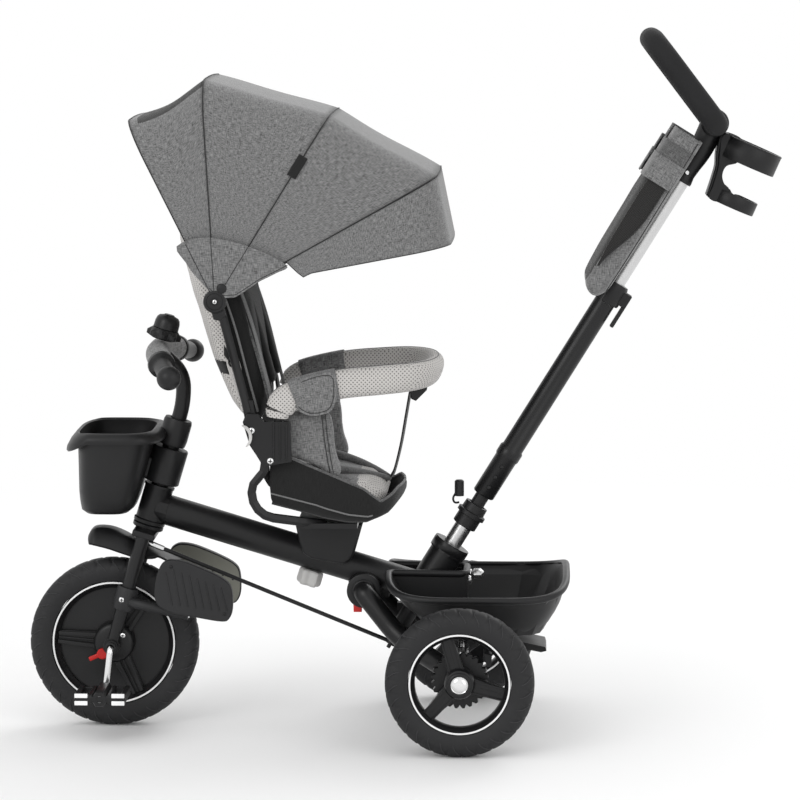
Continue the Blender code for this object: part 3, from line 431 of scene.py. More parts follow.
def plate(name, outline, low_y, high_y, look, body, bevel=1.5, replaces=(), smooth=0,
          segments=3, crown=0.0):
    """A plate seen from the side: an outline of (x, z) between two depths, edges rounded."""
    points = [Vector((x, 0, z)) for x, z in outline]
    if smooth:
        points = smooth_path(points, smooth, closed=True)
    low_y, high_y = sorted((low_y, high_y))
    bm = bmesh.new()
    low = [bm.verts.new((p.x, low_y, p.z)) for p in points]
    high = [bm.verts.new((p.x, high_y, p.z)) for p in points]
    for i in range(len(points)):
        j = (i + 1) % len(points)
        bm.faces.new((low[i], low[j], high[j], high[i]))
    caps = [bm.faces.new(low), bm.faces.new(list(reversed(high)))]
    bmesh.ops.recalc_face_normals(bm, faces=bm.faces)
    if bevel:
        edges = [edge for face in caps for edge in face.edges]
        bmesh.ops.bevel(bm, geom=edges, offset=bevel, segments=segments, profile=0.6,
                        affect="EDGES", clamp_overlap=True)
    if crown:
        bmesh.ops.triangulate(bm, faces=[f for f in bm.faces if len(f.verts) > 8])
    return made(name, bm, look, body, replaces)


def block(name, centre, size, look, body, turn=None, bevel=1.5, replaces=()):
    bm = bmesh.new()
    place = Matrix.Translation(Vector(centre)) @ (turn or Matrix()) @ Matrix.Diagonal((*size, 1))
    bmesh.ops.create_cube(bm, size=1, matrix=place)
    bmesh.ops.bevel(bm, geom=bm.edges[:], offset=bevel, segments=3, profile=0.6,
                    affect="EDGES", clamp_overlap=True)
    return made(name, bm, look, body, replaces)


def ball(name, centre, radius, look, body, squash=(1, 1, 1)):
    bm = bmesh.new()
    place = Matrix.Translation(Vector(centre)) @ Matrix.Diagonal((*squash, 1))
    bmesh.ops.create_uvsphere(bm, u_segments=40, v_segments=24, radius=radius, matrix=place)
    return made(name, bm, look, body)


def screw(name, centre, axis, radius, body, look="chrome", cross=True):
    """A domed screw head whose cross recess is not cut: it is drawn as two thin black blocks, which are
    painted shade.
    """
    axis = Vector(axis).normalized()
    head = turned(name, centre, axis, [(0, radius * 0.5), (radius * 0.45, radius * 0.46),
                                       (radius * 0.8, radius * 0.3), (radius, 0.05),
                                       (radius, -0.6), (0, -0.6)], look, body, 28)
    if cross:
        # Painted shade: two thin black blocks on the dome's top stand in for the dark inside of a cross
        # recess.
        turn = frame_along(axis)
        for k, (a, b) in enumerate(((1.1, 0.28), (0.28, 1.1))):
            block(f"{name}_slot_{k}", Vector(centre) + axis * radius * 0.46,
                  (radius * a, radius * b, 0.5), "plastic", body, turn, 0.08)
    return head


def grid_piece(name, rows, look, body, thickness=1.2, replaces=(), closed=False):
    """A cloth over rows of points, with UVs measured along the cloth."""
    bm = bmesh.new()
    layer = bm.loops.layers.uv.new("cloth")
    verts = [[bm.verts.new(point) for point in row] for row in rows]
    down = [0.0]
    for row, following in zip(rows, rows[1:]):
        mid = len(row) // 2
        down.append(down[-1] + (following[mid] - row[mid]).length * MM)
    across = [[0.0] for _ in rows]
    for k, row in enumerate(rows):
        for a, b in zip(row, row[1:]):
            across[k].append(across[k][-1] + (b - a).length * MM)
    for k in range(len(rows) - 1):
        for i in range(len(rows[0]) - 1):
            face = bm.faces.new((verts[k][i], verts[k][i + 1], verts[k + 1][i + 1],
                                 verts[k + 1][i]))
            middle = across[k][-1] / 2, across[k + 1][-1] / 2
            spots = ((across[k][i] - middle[0], down[k]), (across[k][i + 1] - middle[0], down[k]),
                     (across[k + 1][i + 1] - middle[1], down[k + 1]),
                     (across[k + 1][i] - middle[1], down[k + 1]))
            for loop, spot in zip(face.loops, spots):
                loop[layer].uv = spot
    area = sum(face.calc_area() for face in bm.faces) * MM * MM
    thing = made(name, bm, look, None)
    solid = thing.modifiers.new("Solidify", "SOLIDIFY")
    solid.thickness = thickness * MM
    solid.offset = 0
    applied(thing)
    if body:
        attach(thing, body)
    if replaces:
        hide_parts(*replaces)
    return thing, area


def strap(name, path, width_dir, width, look, body, thickness=1.8, replaces=()):
    """Flat webbing along a path."""
    width_dir = Vector(width_dir).normalized()
    rows = []
    for point in path:
        point = Vector(point)
        rows.append([point + width_dir * width * (k / 4 - 0.5) for k in range(5)])
    return grid_piece(name, rows, look, body, thickness, replaces)[0]


def inflate(thing, voxel=5.0, pressure=4.0, cap=8.0, smooth=1):
    """Fills a closed piece like padding: remesh, cloth under pressure, capped travel."""
    remesh = thing.modifiers.new("Remesh", "REMESH")
    remesh.mode = "VOXEL"
    remesh.voxel_size = voxel * MM
    applied(thing)
    mesh = thing.data
    start = [vertex.co.copy() for vertex in mesh.vertices]
    cloth = thing.modifiers.new("Cloth", "CLOTH")
    cloth.settings.use_pressure = True
    cloth.settings.uniform_pressure_force = pressure
    cloth.settings.quality = 5
    cloth.settings.effector_weights.gravity = 0
    scene = bpy.context.scene
    for step in range(1, 21):
        scene.frame_set(step)
    graph = bpy.context.evaluated_depsgraph_get()
    swollen = thing.evaluated_get(graph).to_mesh()
    ends = [vertex.co.copy() for vertex in swollen.vertices]
    thing.modifiers.clear()
    scene.frame_set(1)
    for vertex, begin, end in zip(mesh.vertices, start, ends):
        move = end - begin
        if move.length > cap * MM:
            move = move.normalized() * cap * MM
        vertex.co = begin + move
    relax = thing.modifiers.new("Smooth", "SMOOTH")
    relax.factor = 0.5
    relax.iterations = 6
    if smooth:
        sub = thing.modifiers.new("Subdivision", "SUBSURF")
        sub.levels = sub.render_levels = smooth
    applied(thing)
    thing.data.shade_smooth()
    box_uv(thing.data) if not thing.data.uv_layers else None
    return thing


def give(node, look):
    """A carried-over CAD node with a better material."""
    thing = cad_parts[node]
    for slot in thing.material_slots:
        slot.material = LOOKS[look]
    if not thing.data.uv_layers:
        box_uv(thing.data)


def oval(centre, half_x, half_y, power=4.0, count=96):
    points = []
    for i in range(count):
        angle = 2 * math.pi * (i + 0.5) / count
        c, s = math.cos(angle), math.sin(angle)
        points.append(Vector(centre) + Vector((
            half_x * math.copysign(abs(c) ** (2 / power), c),
            half_y * math.copysign(abs(s) ** (2 / power), s), 0)))
    return points


# ---------------------------------------------------------------- wheels

def tyre(name, centre, radius, inner, half, sipes, body):
    """Tyre with a rounded shoulder; hooked ribs and grooves run over its tread."""
    profile = [(inner + 0.2, half - 4), (inner + 5, half - 1.6), (inner + 12, half - 0.2),
               (radius - 17, half), (radius - 12, half - 0.6), (radius - 9, half - 2.2),
               (radius - 6.5, half - 4.2), (radius - 4.2, half - 6.5), (radius - 2.4, half - 9),
               (radius - 1, half - 12), (radius - 0.2, half - 15.5), (radius, half - 19.5)]
    profile += [(r, -h) for r, h in reversed(profile)]
    steps = 480
    bm = bmesh.new()
    rows = []
    for k in range(steps):
        angle = 2 * math.pi * k / steps
        row = []
        for r, h in profile:
            rise = (r - (radius - 17)) / 17
            if rise > 0.02:
                bend = 0.42 * math.sin(min(1.0, rise) * 2.4) + 0.5 * (h < 0)
                phase = (angle * sipes / (2 * math.pi) + bend) % 1.0
                deep = max(0.0, 1 - abs(phase - 0.5) / 0.12) * (0.45 + 0.55 * rise)
                if abs(h) < half * 0.25:
                    deep *= 0.25
                r, h = r - 2.2 * deep * rise, h - math.copysign(2.2 * deep * (1 - rise * 0.6), h)
            row.append(Vector(centre) + Vector((r * math.cos(angle), h, r * math.sin(angle))))
        rows.append(row)
    skin(bm, rows, closed=True)
    made(name, bm, "tyre", body, (name.replace("_tread", ""),), 60)
    bm = bmesh.new()
    hook = ((-19, 0.1, 0.0), (-15, 0.2, 0.08), (-11.4, -0.2, 0.2), (-8.4, -1.9, 0.33),
            (-5.6, -4.6, 0.46), (-3.4, -7.6, 0.52), (-1.9, -10.2, 0.46))
    for side in (-1, 1):
        for k in range(sipes):
            path = []
            for drop, inward, turn in hook:
                angle = 2 * math.pi * (k + turn + 0.5 * (side > 0)) / sipes
                path.append(Vector(centre) + Vector(((radius + drop) * math.cos(angle),
                                                     side * (half + inward),
                                                     (radius + drop) * math.sin(angle))))
            skin(bm, path_loops(smooth_path(path, 2), [0.35, 0.6] + [0.75] * 10 + [0.5], 6))
    made(name.replace("_tread", "_hooks"), bm, "tread", body)


def wheel_bar(name, centre, angle, low, high, half_low, half_high, y0, y1, look, body,
              offset=0.0, bevel=1.2):
    """A tapered bar in the wheel's plane, from radius low to high."""
    outward = Vector((math.cos(angle), 0, math.sin(angle)))
    aside = Vector((-math.sin(angle), 0, math.cos(angle)))
    corners = ((low, -half_low), (high, -half_high), (high, half_high), (low, half_low))
    outline = []
    for r, w in corners:
        point = Vector(centre) + outward * r + aside * (w + offset)
        outline.append((point.x, point.z))
    return plate(name, outline, centre[1] + y0, centre[1] + y1, look, body, bevel)


def rim_ring(name, centre, edge, half, web, look, body, replaces=()):
    """Rim barrel with rolled lips on both sides."""
    profile = [(edge, half), (edge - 1.4, half + 1), (edge - 3, half + 0.6), (edge - 4.5, half - 2),
               (edge - 7, half - 5), (edge - web, half - 9), (edge - web, -half + 9),
               (edge - 7, -half + 5), (edge - 4.5, -half + 2), (edge - 3, -half - 0.6),
               (edge - 1.4, -half - 1), (edge, -half)]
    return turned(name, centre, (0, -1, 0), profile, look, body, 128, replaces, ring=True)


def stripe(name, centre, radius, out, body):
    for tag, side in SIDES:
        place = Vector(centre) + Vector((0, side * out, 0))
        profile = [(radius + 1.35, 0), (radius + 1.1, 0.7), (radius - 1.1, 0.7),
                   (radius - 1.35, 0), (radius, -0.8)]
        turned(f"{name}_{tag}", place, (0, side, 0), profile, "stripe", body, 160, ring=True)


def front_wheel():
    tyre("tyre_front_tread", FRONT_AXLE, 126, 93, 23, 34, "front_wheel")
    rim_ring("rim_front_barrel", FRONT_AXLE, 92.4, 17.4, 11, "rim", "front_wheel",
             ("rim_front",))
    stripe("stripe_front", FRONT_AXLE, 90.2, 18.6, "front_wheel")
    profile = [(6.5, 3), (83, 3), (83, -3), (6.5, -3)]
    turned("rim_front_disc", FRONT_AXLE, (0, -1, 0), profile, "rim", "front_wheel", 96,
           ring=True)
    hub = [(6.4, 22), (24, 22), (28, 20), (30, 16), (31, 9), (31, -9), (30, -16), (28, -20),
           (24, -22), (6.4, -22)]
    turned("rim_front_hub", FRONT_AXLE, (0, -1, 0), hub, "rim", "front_wheel", 64, ring=True)
    for k, degrees in enumerate((175, 55, -65)):
        angle = math.radians(degrees)
        wheel_bar(f"spoke_front_web_{k}", FRONT_AXLE, angle, 24, 84, 13, 10, -10, 10, "rim",
                  "front_wheel")
        for tag, side in SIDES:
            face = side * 10
            for j, offset in enumerate((-9.5, 0, 9.5)):
                lean = math.radians(-2.2 * offset / 9.5)
                wheel_bar(f"spoke_front_{tag}_{k}_{j}", FRONT_AXLE, angle + lean, 27, 83.5,
                          3.4 if offset else 1.5, 2.6 if offset else 1.2,
                          face - 1, face + side * (5.5 if offset else 2.5), "rim", "front_wheel",
                          offset, 0.9)


def rear_wheel(tag, side):
    body = f"rear_wheel_{tag}"
    centre = REAR_AXLE + Vector((0, side * REAR_TRACK, 0))
    tyre(f"tyre_rear_{tag}_tread", centre, 107.5, 74, 21, 30, body)
    rim_ring(f"rim_rear_{tag}_barrel", centre, 73.4, 15.6, 9, "rim", body, (f"rim_rear_{tag}",))
    stripe(f"stripe_rear_{tag}", centre, 71.6, 16.8, body)
    boss = [(8.4, 17), (16, 17.4), (20, 16), (22, 12), (22, -12), (19, -18), (8.4, -18)]
    turned(f"rim_rear_{tag}_boss", centre, (0, side, 0), boss, "rim", body, 64, ring=True)
    for k, degrees in enumerate((106, 226, -14)):
        angle = math.radians(degrees)
        wheel_bar(f"spoke_rear_{tag}_{k}", centre, angle, 15, 66.5, 13, 7.6, -8, 8, "rim",
                  body, bevel=2.2)
        for j, way in enumerate((-1, 1)):
            wheel_bar(f"spoke_rear_{tag}_{k}_rib_{j}", centre, angle, 30, 62, 1.0, 0.9,
                      way * 8 - 0.6, way * 8 + 0.9 * way, "rim", body, bevel=0.4)
            wheel_bar(f"spoke_rear_{tag}_{k}_edge_{j}", centre, angle, 18, 66, 1.3, 1.1,
                      side * 8 - 0.5, side * 8 + side * 1.8, "rim", body, way * 8.4, 0.5)
    teeth = []
    for i in range(72):
        radius = (36, 41, 41)[(i // 1) % 3] if i % 3 else 36
        turn = 2 * math.pi * i / 72
        teeth.append((centre.x + radius * math.cos(turn), centre.z + radius * math.sin(turn)))
    low = side * 184
    plate(f"brake_ring_{tag}", teeth, low, low + side * 15, "rim", body, 0.6)
    cap = [(0, 3.4), (6, 3.3), (9.5, 2.4), (11.2, 0.4), (12.4, 1.2), (13.2, 0.2), (13.2, -1),
           (0, -1)]
    turned(f"cap_rear_{tag}_dome", centre + Vector((0, side * 20.4, 0)), (0, side, 0), cap,
           "chrome", body, 48, (f"cap_rear_{tag}",))
    turned(f"cap_rear_{tag}_ring", centre + Vector((0, side * 17.6, 0)), (0, side, 0),
           [(13.4, 0), (13.4, 3.2), (15, 3.6), (16.8, 2.6), (17.2, 0)], "plastic", body, 56,
           ring=True)


# ---------------------------------------------------------------- frame and rear

def main_frame():
    for node, look in (("main_frame", "paint"), ("rear_legs", "paint"),
                       ("leg_brace", "plastic"), ("brake_bar", "plastic"),
                       ("steer_post", "plastic"), ("dust_cap", "plastic")):
        give(node, look)
    rod("main_tube", TUBE_FRONT + Vector((16, 0, -4.8)), TUBE_REAR, 22.75, "paint", "frame", 72)
    head = [(21.3, 186.2), (23.6, 186.6), (23.8, 191), (21.6, 193), (21.4, 241), (22.8, 243),
            (22.8, 246)]
    turned("head_tube", FRONT_AXLE, STEER_UP, [(14, 186.2), *head, (14, 246)], "paint", "frame",
           72, ring=True)
    socket = [(13.6, -48), (25.4, -48), (25.4, 14), (28.2, 17), (28.4, 27), (27, 30.4), (13.6, 30.4)]
    turned("push_bar_socket", POST_BASE, POST_UP, socket, "paint", "frame", 64, ring=True)
    for tag, side in SIDES:
        place = Vector((LEG_PIVOT.x, side * 42.2, LEG_PIVOT.z))
        turned(f"leg_hub_{tag}", place, (0, side, 0),
               [(0, 4), (15, 4), (17, 3.2), (18, 1.8), (22, 1.6), (25.3, 0.4), (25.5, -8.6),
                (0, -8.6)], "plastic", "rear_legs", 64)
        leg = rounded([(-56, side * 38, 210), (-56, side * 54, 210), (-2, side * 76, 146),
                       (60, side * 132, 117), (89, side * 168, 107.5)], 30, 10)
        tube(f"leg_tube_{tag}", leg, 15.1, "paint", "rear_legs", 40)
        rod(f"axle_tube_{tag}", (89, side * 20, 107.5), (89, side * 180, 107.5), 8.4, "chrome",
            "rear_legs", 32)
    rod("leg_tie_tube", (20, -90, 133), (20, 90, 133), 7.3, "paint", "rear_legs", 32)
    tube("leg_strut", [(20, 36, 133), (2, 36, 176)], 6.9, "plastic", "leg_brace", 28)
    turned("steer_post_steel", POST_BASE, POST_UP, [(12.7, 30.6), (13.3, 30.6), (13.3, 61.6),
                                                    (12.7, 61.6)], "zinc", "post", 48,
           ring=True)
    outline = [(-158, 309), (-152, 280), (-146, 264), (-134, 256), (-112, 252), (-88, 248),
               (-76, 254), (-70, 266), (-58, 309)]
    plate("seat_saddle", outline, -34, 34, "plastic", "frame", 5, ("seat_mount",))
    turned("seat_turntable", (-106, 0, 305), (0, 0, 1), [(0, 7), (43, 7), (44.5, 5), (44.5, 0),
                                                        (0, 0)], "plastic", "frame", 72)
    plate("leg_button_head", [(-72, 175.6), (-60, 175.6), (-59.6, 187), (-72.4, 187)], -26.5, -14,
          "red", "leg_button", 1.8, ("leg_button",))


def star_knob():
    along = (TUBE_REAR - TUBE_FRONT).normalized()
    down = Vector((along.z, 0, -along.x))
    centre = TUBE_FRONT.lerp(TUBE_REAR, 0.60)
    turn = frame_along(-down)
    loops = []
    for height, inset in ((23.1, 4), (24.5, 1.2), (27, 0.2), (41, 0), (44, 0.8), (46, 2.8),
                          (46.6, 6)):
        loop = []
        for i in range(90):
            angle = 2 * math.pi * i / 90
            radius = 16.5 + 2.8 * math.cos(5 * angle) - inset
            flat = Vector((radius * math.cos(angle), radius * math.sin(angle), 0))
            loop.append(centre + down * height + turn @ flat)
        loops.append(loop)
    bm = bmesh.new()
    skin(bm, loops)
    made("star_knob_grip", bm, "light_plastic", "star_knob", ("star_knob",))


def basket_top(x, y, z):
    """The tub's rim dips towards its left and right sides."""
    return Vector((x, y, z - 22 * (y / 163) ** 2))


def rear_basket():
    """Tub with a rolled rim that wraps round the push bar's socket."""
    give("rear_basket", "plastic")
    wall = [(161, 78, 122, 126), (164, 85, 129, 126), (175, 95, 136, 124), (190, 107, 143, 121),
            (205, 117.6, 150.6, 117), (222, 125, 157.5, 114), (238, 130.6, 163.6, 112)]
    for name, inset, look in (("outer", 0.0, "plastic"), ("inner", 4.4, "plastic")):
        loops = []
        for z, half_x, half_y, x in wall:
            high = (z - 161) / 77
            loop = oval((x, 0, z), half_x - inset, half_y - inset, 4.6, 160)
            loops.append([p - Vector((0, 0, 22 * (p.y / 163) ** 2 * high ** 2)) for p in loop])
        bm = bmesh.new()
        skin(bm, loops, caps=False)
        notch = [face for face in bm.faces
                 if abs(face.calc_center_median().y) < 41 and face.calc_center_median().x < 90]
        bmesh.ops.delete(bm, geom=notch, context="FACES")
        made(f"rear_basket_{name}", bm, look, "frame")
    rim = [p for p in oval((112, 0, 239), 131, 164, 4.6, 160) if not (abs(p.y) < 42 and p.x < 60)]
    start = max(range(len(rim)), key=lambda i: (rim[i] - rim[i - 1]).length)
    rim = rim[start:] + rim[:start]
    around = [basket_top(p.x, p.y, p.z) for p in rim]
    first, last = around[0], around[-1]
    side = 1 if last.y > 0 else -1
    notch = rounded([last, (-14, side * 38.6, 237.5), (95.6, side * 38.6, 236),
                     (95.6, -side * 38.6, 236), (-14, -side * 38.6, 237.5), first], 14, 5)
    tube("rear_basket_rim", around + notch[1:-1] + [first], 5.4, "plastic", "frame", 18)
    turned("rear_basket_nut", (112, -52, 236), (0, -0.5, 1),
           [(0, 9), (7, 9), (9.6, 7), (9.6, 0), (0, 0)], "zinc", "frame", 6)
    for k, side in enumerate((-1, 1)):
        turned(f"rear_basket_bolt_{k}", (99, side * 30, 226), (1, 0, 0.1),
               [(0, 4), (5, 3.6), (6.4, 2), (6.8, 0), (0, 0)], "zinc", "frame", 24)


# ---------------------------------------------------------------- front end

def front_end():
    crown = Matrix.Rotation(STEER_TILT, 4, "Y")
    bm = bmesh.new()
    turned_into(bm, FRONT_AXLE, STEER_UP, [(0, 172), (12.7, 172), (12.7, 330), (0, 330)], 40)
    made("steerer_tube", bm, "paint", "fork", ("fork",))
    block("fork_crown", steer(174), (34, 110, 10), "paint", "fork", crown, 3)
    rod("fork_crown_race", steer(178), steer(185.6), 23, "paint", "fork", 56, 1.5)
    rod("fork_rod_pin", steer(173, -24), steer(155, -24), 3, "chrome", "fork", 20)
    for tag, side in SIDES:
        path = [steer(2, side * 45), steer(60, side * 45), steer(130, side * 45),
                steer(176, side * 45)]
        tube(f"fork_leg_{tag}", path, [8.4, 10.4, 10.6, 9.6], "paint", "fork", 40)
        rod(f"fork_dropout_{tag}", (FRONT_AXLE.x, side * 36, 126), (FRONT_AXLE.x, side * 54, 126),
            12.6, "paint", "fork", 48, 2)
        turned(f"axle_collar_{tag}", (FRONT_AXLE.x, side * 54, 126), (0, side, 0),
               [(6, 0), (10.5, 0), (11.2, 1.4), (10.2, 4.4), (6.2, 5)], "plastic", "fork", 48,
               ring=True)
        screw(f"fork_bolt_{tag}", steer(22, side * 55, -12), (0, side, 0), 4.2, "fork")
        turned(f"footrest_collar_{tag}", steer(58, side * 45), STEER_UP,
               [(10.8, 0), (15, 0), (16, 2), (16, 32), (15, 34), (10.8, 34)], "soft_plastic",
               "fork", 56, (f"footrest_arm_{tag}",), ring=True)
        screw(f"footrest_collar_bolt_{tag}", steer(74, side * 61, 4), (0, side, 0), 4.4, "fork")
        arm = rounded([(-405, side * 50, 194), (-385, side * 63, 191), (-314, side * 63, 176)],
                      10, 8)
        tube(f"footrest_tube_{tag}", arm, 7.6, "soft_plastic", "fork", 32)
        end = Vector((-314, side * 63, 176))
        along = (arm[-1] - arm[-2]).normalized()
        screw(f"footrest_end_{tag}", end + along * 0.5, along, 4.6, "fork")
        footrest(tag, side)
    fender()
    basket()
    handlebar()
    rod_and_crank()


def footrest(tag, side):
    """Folding plate with slanted ribs and two screws on its outer face."""
    body = f"footrest_{tag}"
    outline = [(-360, 199), (-361, 226), (-354, 251), (-345, 260), (-333, 262), (-313, 258),
               (-279, 244), (-256, 231), (-248, 217), (-247, 190), (-252, 175), (-263, 170.5),
               (-299, 176), (-340, 184)]
    low, high = side * 71.4, side * 86.4
    plate(f"footrest_{tag}_plate", outline, low, high, "soft_plastic", body, 3.2,
          (f"footrest_{tag}",), smooth=5, segments=5)
    for k in range(8):
        x = -345 + k * 11.6
        top = 247 - max(0, k - 1) * 4.4 - (4 if k == 0 else 0)
        foot = 196 - k * 1.4
        tube(f"footrest_{tag}_rib_{k}", [(x, side * 86.4, top), (x + 9, side * 86.6, foot)], 1.0,
             "soft_plastic", body, 10, round_ends=True)
    for k, (x, z) in enumerate(((-337, 252), (-259, 182))):
        screw(f"footrest_{tag}_screw_{k}", (x, side * 86.6, z), (0, side, 0), 2.6, body, "plastic")
    inner = [(x * 0.97 - 9, z * 0.95 + 10.5) for x, z in outline]
    plate(f"footrest_{tag}_pad", inner, side * 71.5, side * 70.6, "olive", body, 0.3, smooth=5)
    for k in range(6):
        ball(f"footrest_{tag}_dot_{k}", (-334 + k * 15, side * 70.6, 240 - k * 6.5), 1.6,
             "plastic", body, (1, 0.4, 1))


def fender():
    """Curved hood with side skirts over the front tyre."""
    spine = smooth_path([(-466, 0, 287), (-458, 0, 297), (-436, 0, 297), (-414, 0, 289),
                         (-392, 0, 276), (-362, 0, 262), (-331, 0, 247)], 8)
    rows = []
    for k, point in enumerate(spine):
        part = k / (len(spine) - 1)
        skirt = 24 * math.sin(math.pi * min(1, part * 1.15 + 0.04)) ** 0.7 if part < 0.9 else 7
        half = 33 * min(1.0, 0.72 + part * 1.6)
        row = []
        for j in range(25):
            angle = math.pi * (j / 24 - 0.5)
            across = max(-1, min(1, math.sin(angle) * 1.18))
            fall = skirt * max(0.0, abs(across) - 0.55) / 0.45 * abs(across)
            row.append(point + Vector((0, half * across, -fall - 3 * across * across)))
        rows.append(row)
    grid_piece("fender_hood", rows, "plastic", "fork", 2.6, ("fender",))


def basket():
    levels = [(324.6, 22, 52, -436), (325.4, 32, 62, -436), (331, 38.6, 70.6, -436),
              (345, 42.5, 79, -434), (360, 45.2, 88, -432), (396, 50.5, 93.2, -427),
              (434, 56, 98, -422)]
    outer = [oval((x, 0, z), half_x, half_y, 3.6) for z, half_x, half_y, x in levels]

    def rim(half_x, half_y, top, drop=1.0):
        loop = []
        for point in oval((-422, 0, top), half_x, half_y, 3.6):
            ahead = max(0.0, (-(point.x + 422)) / 72 - 0.5)
            loop.append(point - Vector((0, 0, 34 * ahead * drop)))
        return loop

    lip = [rim(62, 100, 435), rim(71, 105.6, 434), rim(73, 107.4, 437.5), rim(72, 106.4, 443),
           rim(66, 102, 448.5, 0.8), rim(58, 97, 450, 0.3), rim(53.6, 94.4, 447, 0.1)]
    inner = [oval((x, 0, z + (3 if k == 0 else 0)), half_x - 3, half_y - 3, 3.6)
             for k, (z, half_x, half_y, x) in reversed(list(enumerate(levels)))]
    bm = bmesh.new()
    skin(bm, [*outer, *lip, *inner])
    made("front_basket_tub", bm, "plastic", "fork", ("front_basket",))
    turned("front_basket_ring", FRONT_AXLE, STEER_UP,
           [(13.4, 250), (25.6, 250), (27, 251.5), (27.4, 302), (26, 304), (13.4, 304)], "plastic",
           "fork", 72, ring=True)
    tilt = Matrix.Rotation(STEER_TILT, 4, "Y")
    block("front_basket_lug", steer(268, 0, 27), (26, 34, 30), "plastic", "fork", tilt, 3)


def handlebar():
    sleeve = [(13.4, 308), (19.6, 308), (20.4, 310), (21.4, 318), (21.2, 344), (19.8, 348.4),
              (13, 348.4)]
    turned("stem_clamp", FRONT_AXLE, STEER_UP, sleeve, "plastic", "fork", 64, ("stem",),
           ring=True)
    path = rounded([steer(332), steer(375), (-325, 0, 528), (-360, 0, 562)], 30, 10)
    tube("stem_tube", path, 11.2, "paint", "fork", 40)
    bar = rounded(BAR_PATH, 24, 6)
    tube("handlebar_tube", bar, 9.1, "paint", "fork", 32)
    middle = [point for point in bar if abs(point.y) < 112]
    ends = []
    for side in (-1, 1):
        inner, outer = Vector((-360, side * 42, 562)), Vector((-345, side * 120, 553))
        ends.append(inner.lerp(outer, 0.94))
    path = smooth_path([ends[0], *[p for p in middle if abs(p.y) < 90], ends[1]], 5)
    tube("handlebar_foam", path, 17.3, "melange_foam", "fork", 48, ("bar_pad",), round_ends=False)
    for tag, side in SIDES:
        inner, outer = Vector((-345, side * 120, 553)), Vector((-331, side * 178, 544))
        away = (outer - inner).normalized()
        turned(f"grip_collar_{tag}", inner - away * 8, away,
               [(9.4, 0), (19, 0), (20, 2), (19.4, 9), (14.4, 13), (13.2, 20), (13.4, 58),
                (12, 66), (9.4, 66)], "plastic", "fork", 56, (f"grip_{tag}",), ring=True)
        ball(f"grip_ball_{tag}", outer + away * 12, 17.6, "plastic", "fork")
    bell()


def bell():
    foot = Vector((-352, -34, 582))
    loops = []
    for height, wide, lobes in ((0.4, 17, 0), (2, 21, 0.5), (3.5, 23.6, 2.2), (9.5, 23.8, 2.4),
                                (11.5, 22.6, 1.4), (14.6, 20.6, 0), (16, 19.4, 0)):
        turn = frame_along(STEER_UP)
        loop = []
        for i in range(96):
            angle = 2 * math.pi * i / 96
            radius = wide + lobes * math.cos(8 * angle)
            flat = Vector((radius * math.cos(angle), radius * math.sin(angle), height))
            loop.append(foot + turn @ flat)
        loops.append(loop)
    bm = bmesh.new()
    skin(bm, loops)
    made("bell_ring", bm, "plastic", "fork", ("bell_base",))
    cap = [(0, 22), (7, 21.8), (8, 20.6), (14.4, 18.6), (17, 15.4), (18.4, 10), (18.8, 0.6),
           (18, 0), (0, 0)]
    turned("bell_dome", foot + STEER_UP * 16.4, STEER_UP, cap, "paint", "bell", 64, ("bell_cap",))


def rod_and_crank():
    front, rear = steer(162, -24), post(-140, -24)
    along = (rear - front).normalized()
    tube("steering_rod_bar", [front + along * 22, rear - along * 8], 3.1, "plastic",
         "steering_rod", 20, ("steering_rod",))
    rod("steering_rod_sleeve", front + along * 8, front + along * 34, 4.2, "chrome",
        "steering_rod", 28)
    turned("steering_rod_eye_front", front, STEER_UP, [(5.9, 3.4), (9, 3.4), (9, -3.4),
                                                      (5.9, -3.4)], "chrome", "steering_rod", 40,
           ring=True)
    turned("steering_rod_eye_rear", rear, POST_UP, [(5.9, 3.4), (9, 3.4), (9, -3.4),
                                                   (5.9, -3.4)], "plastic", "steering_rod", 40,
           ring=True)
    path = rounded([(-437, -149, 66), (-437, -66, 66), (-430, -66, 126), (-430, 66, 126),
                    (-423, 66, 186), (-423, 149, 186)], 9, 6)
    tube("crank_bar", path, 4.9, "chrome", "crank", 32, ("crank",))
    for tag, side in SIDES:
        pedal(tag, side)
        turned(f"axle_nut_{tag}", (-430, side * 59.6, 126), (0, side, 0),
               [(5.2, 0), (8.6, 0), (9, 1.2), (7.4, 3.6), (5.2, 4)], "plastic", "fork", 40,
               ring=True)
    rod("clutch_knob", (-446, -33, 111), (-446, -22.5, 111), 8, "red", "clutch_lever", 40, 1.6,
        ("clutch_lever",))
    block("clutch_arm", (-456, -29, 107), (21, 6, 6.4), "red", "clutch_lever",
          Matrix.Rotation(math.radians(-24), 4, "Y"), 1.6)


def pedal(tag, side):
    """Pedal with a hexagonal barrel, side bars and white reflectors."""
    body = f"pedal_{tag}"
    centre = Vector((-437, side * 112, 66)) if side < 0 else Vector((-423, side * 112, 186))
    turned(f"pedal_{tag}_barrel", centre - Vector((0, 38.4, 0)), (0, 1, 0),
           [(5.6, 0), (11, 0), (12.4, 1.6), (12.4, 75.2), (11, 76.8), (5.6, 76.8)], "plastic",
           body, 6, (f"pedal_{tag}",), ring=True)
    for j, way in enumerate((-1, 1)):
        for k, (x, size) in enumerate(((14, 7), (33.5, 8))):
            block(f"pedal_{tag}_bar_{j}_{k}", centre + Vector((way * x, 0, 0)), (size, 75, 13),
                  "plastic", body, bevel=1.8)
        for k, lift in enumerate((-5.4, 5.4)):
            block(f"pedal_{tag}_reflector_{j}_{k}", centre + Vector((way * 27, side * 37.4, lift)),
                  (19, 2.4, 6.4), "reflector", body, bevel=0.9)
    for k, y in enumerate((-35.4, 35.4)):
        block(f"pedal_{tag}_end_{k}", centre + Vector((0, y, 0)), (74, 5, 9), "plastic", body,
              bevel=1.4)


# ---------------------------------------------------------------- push bar

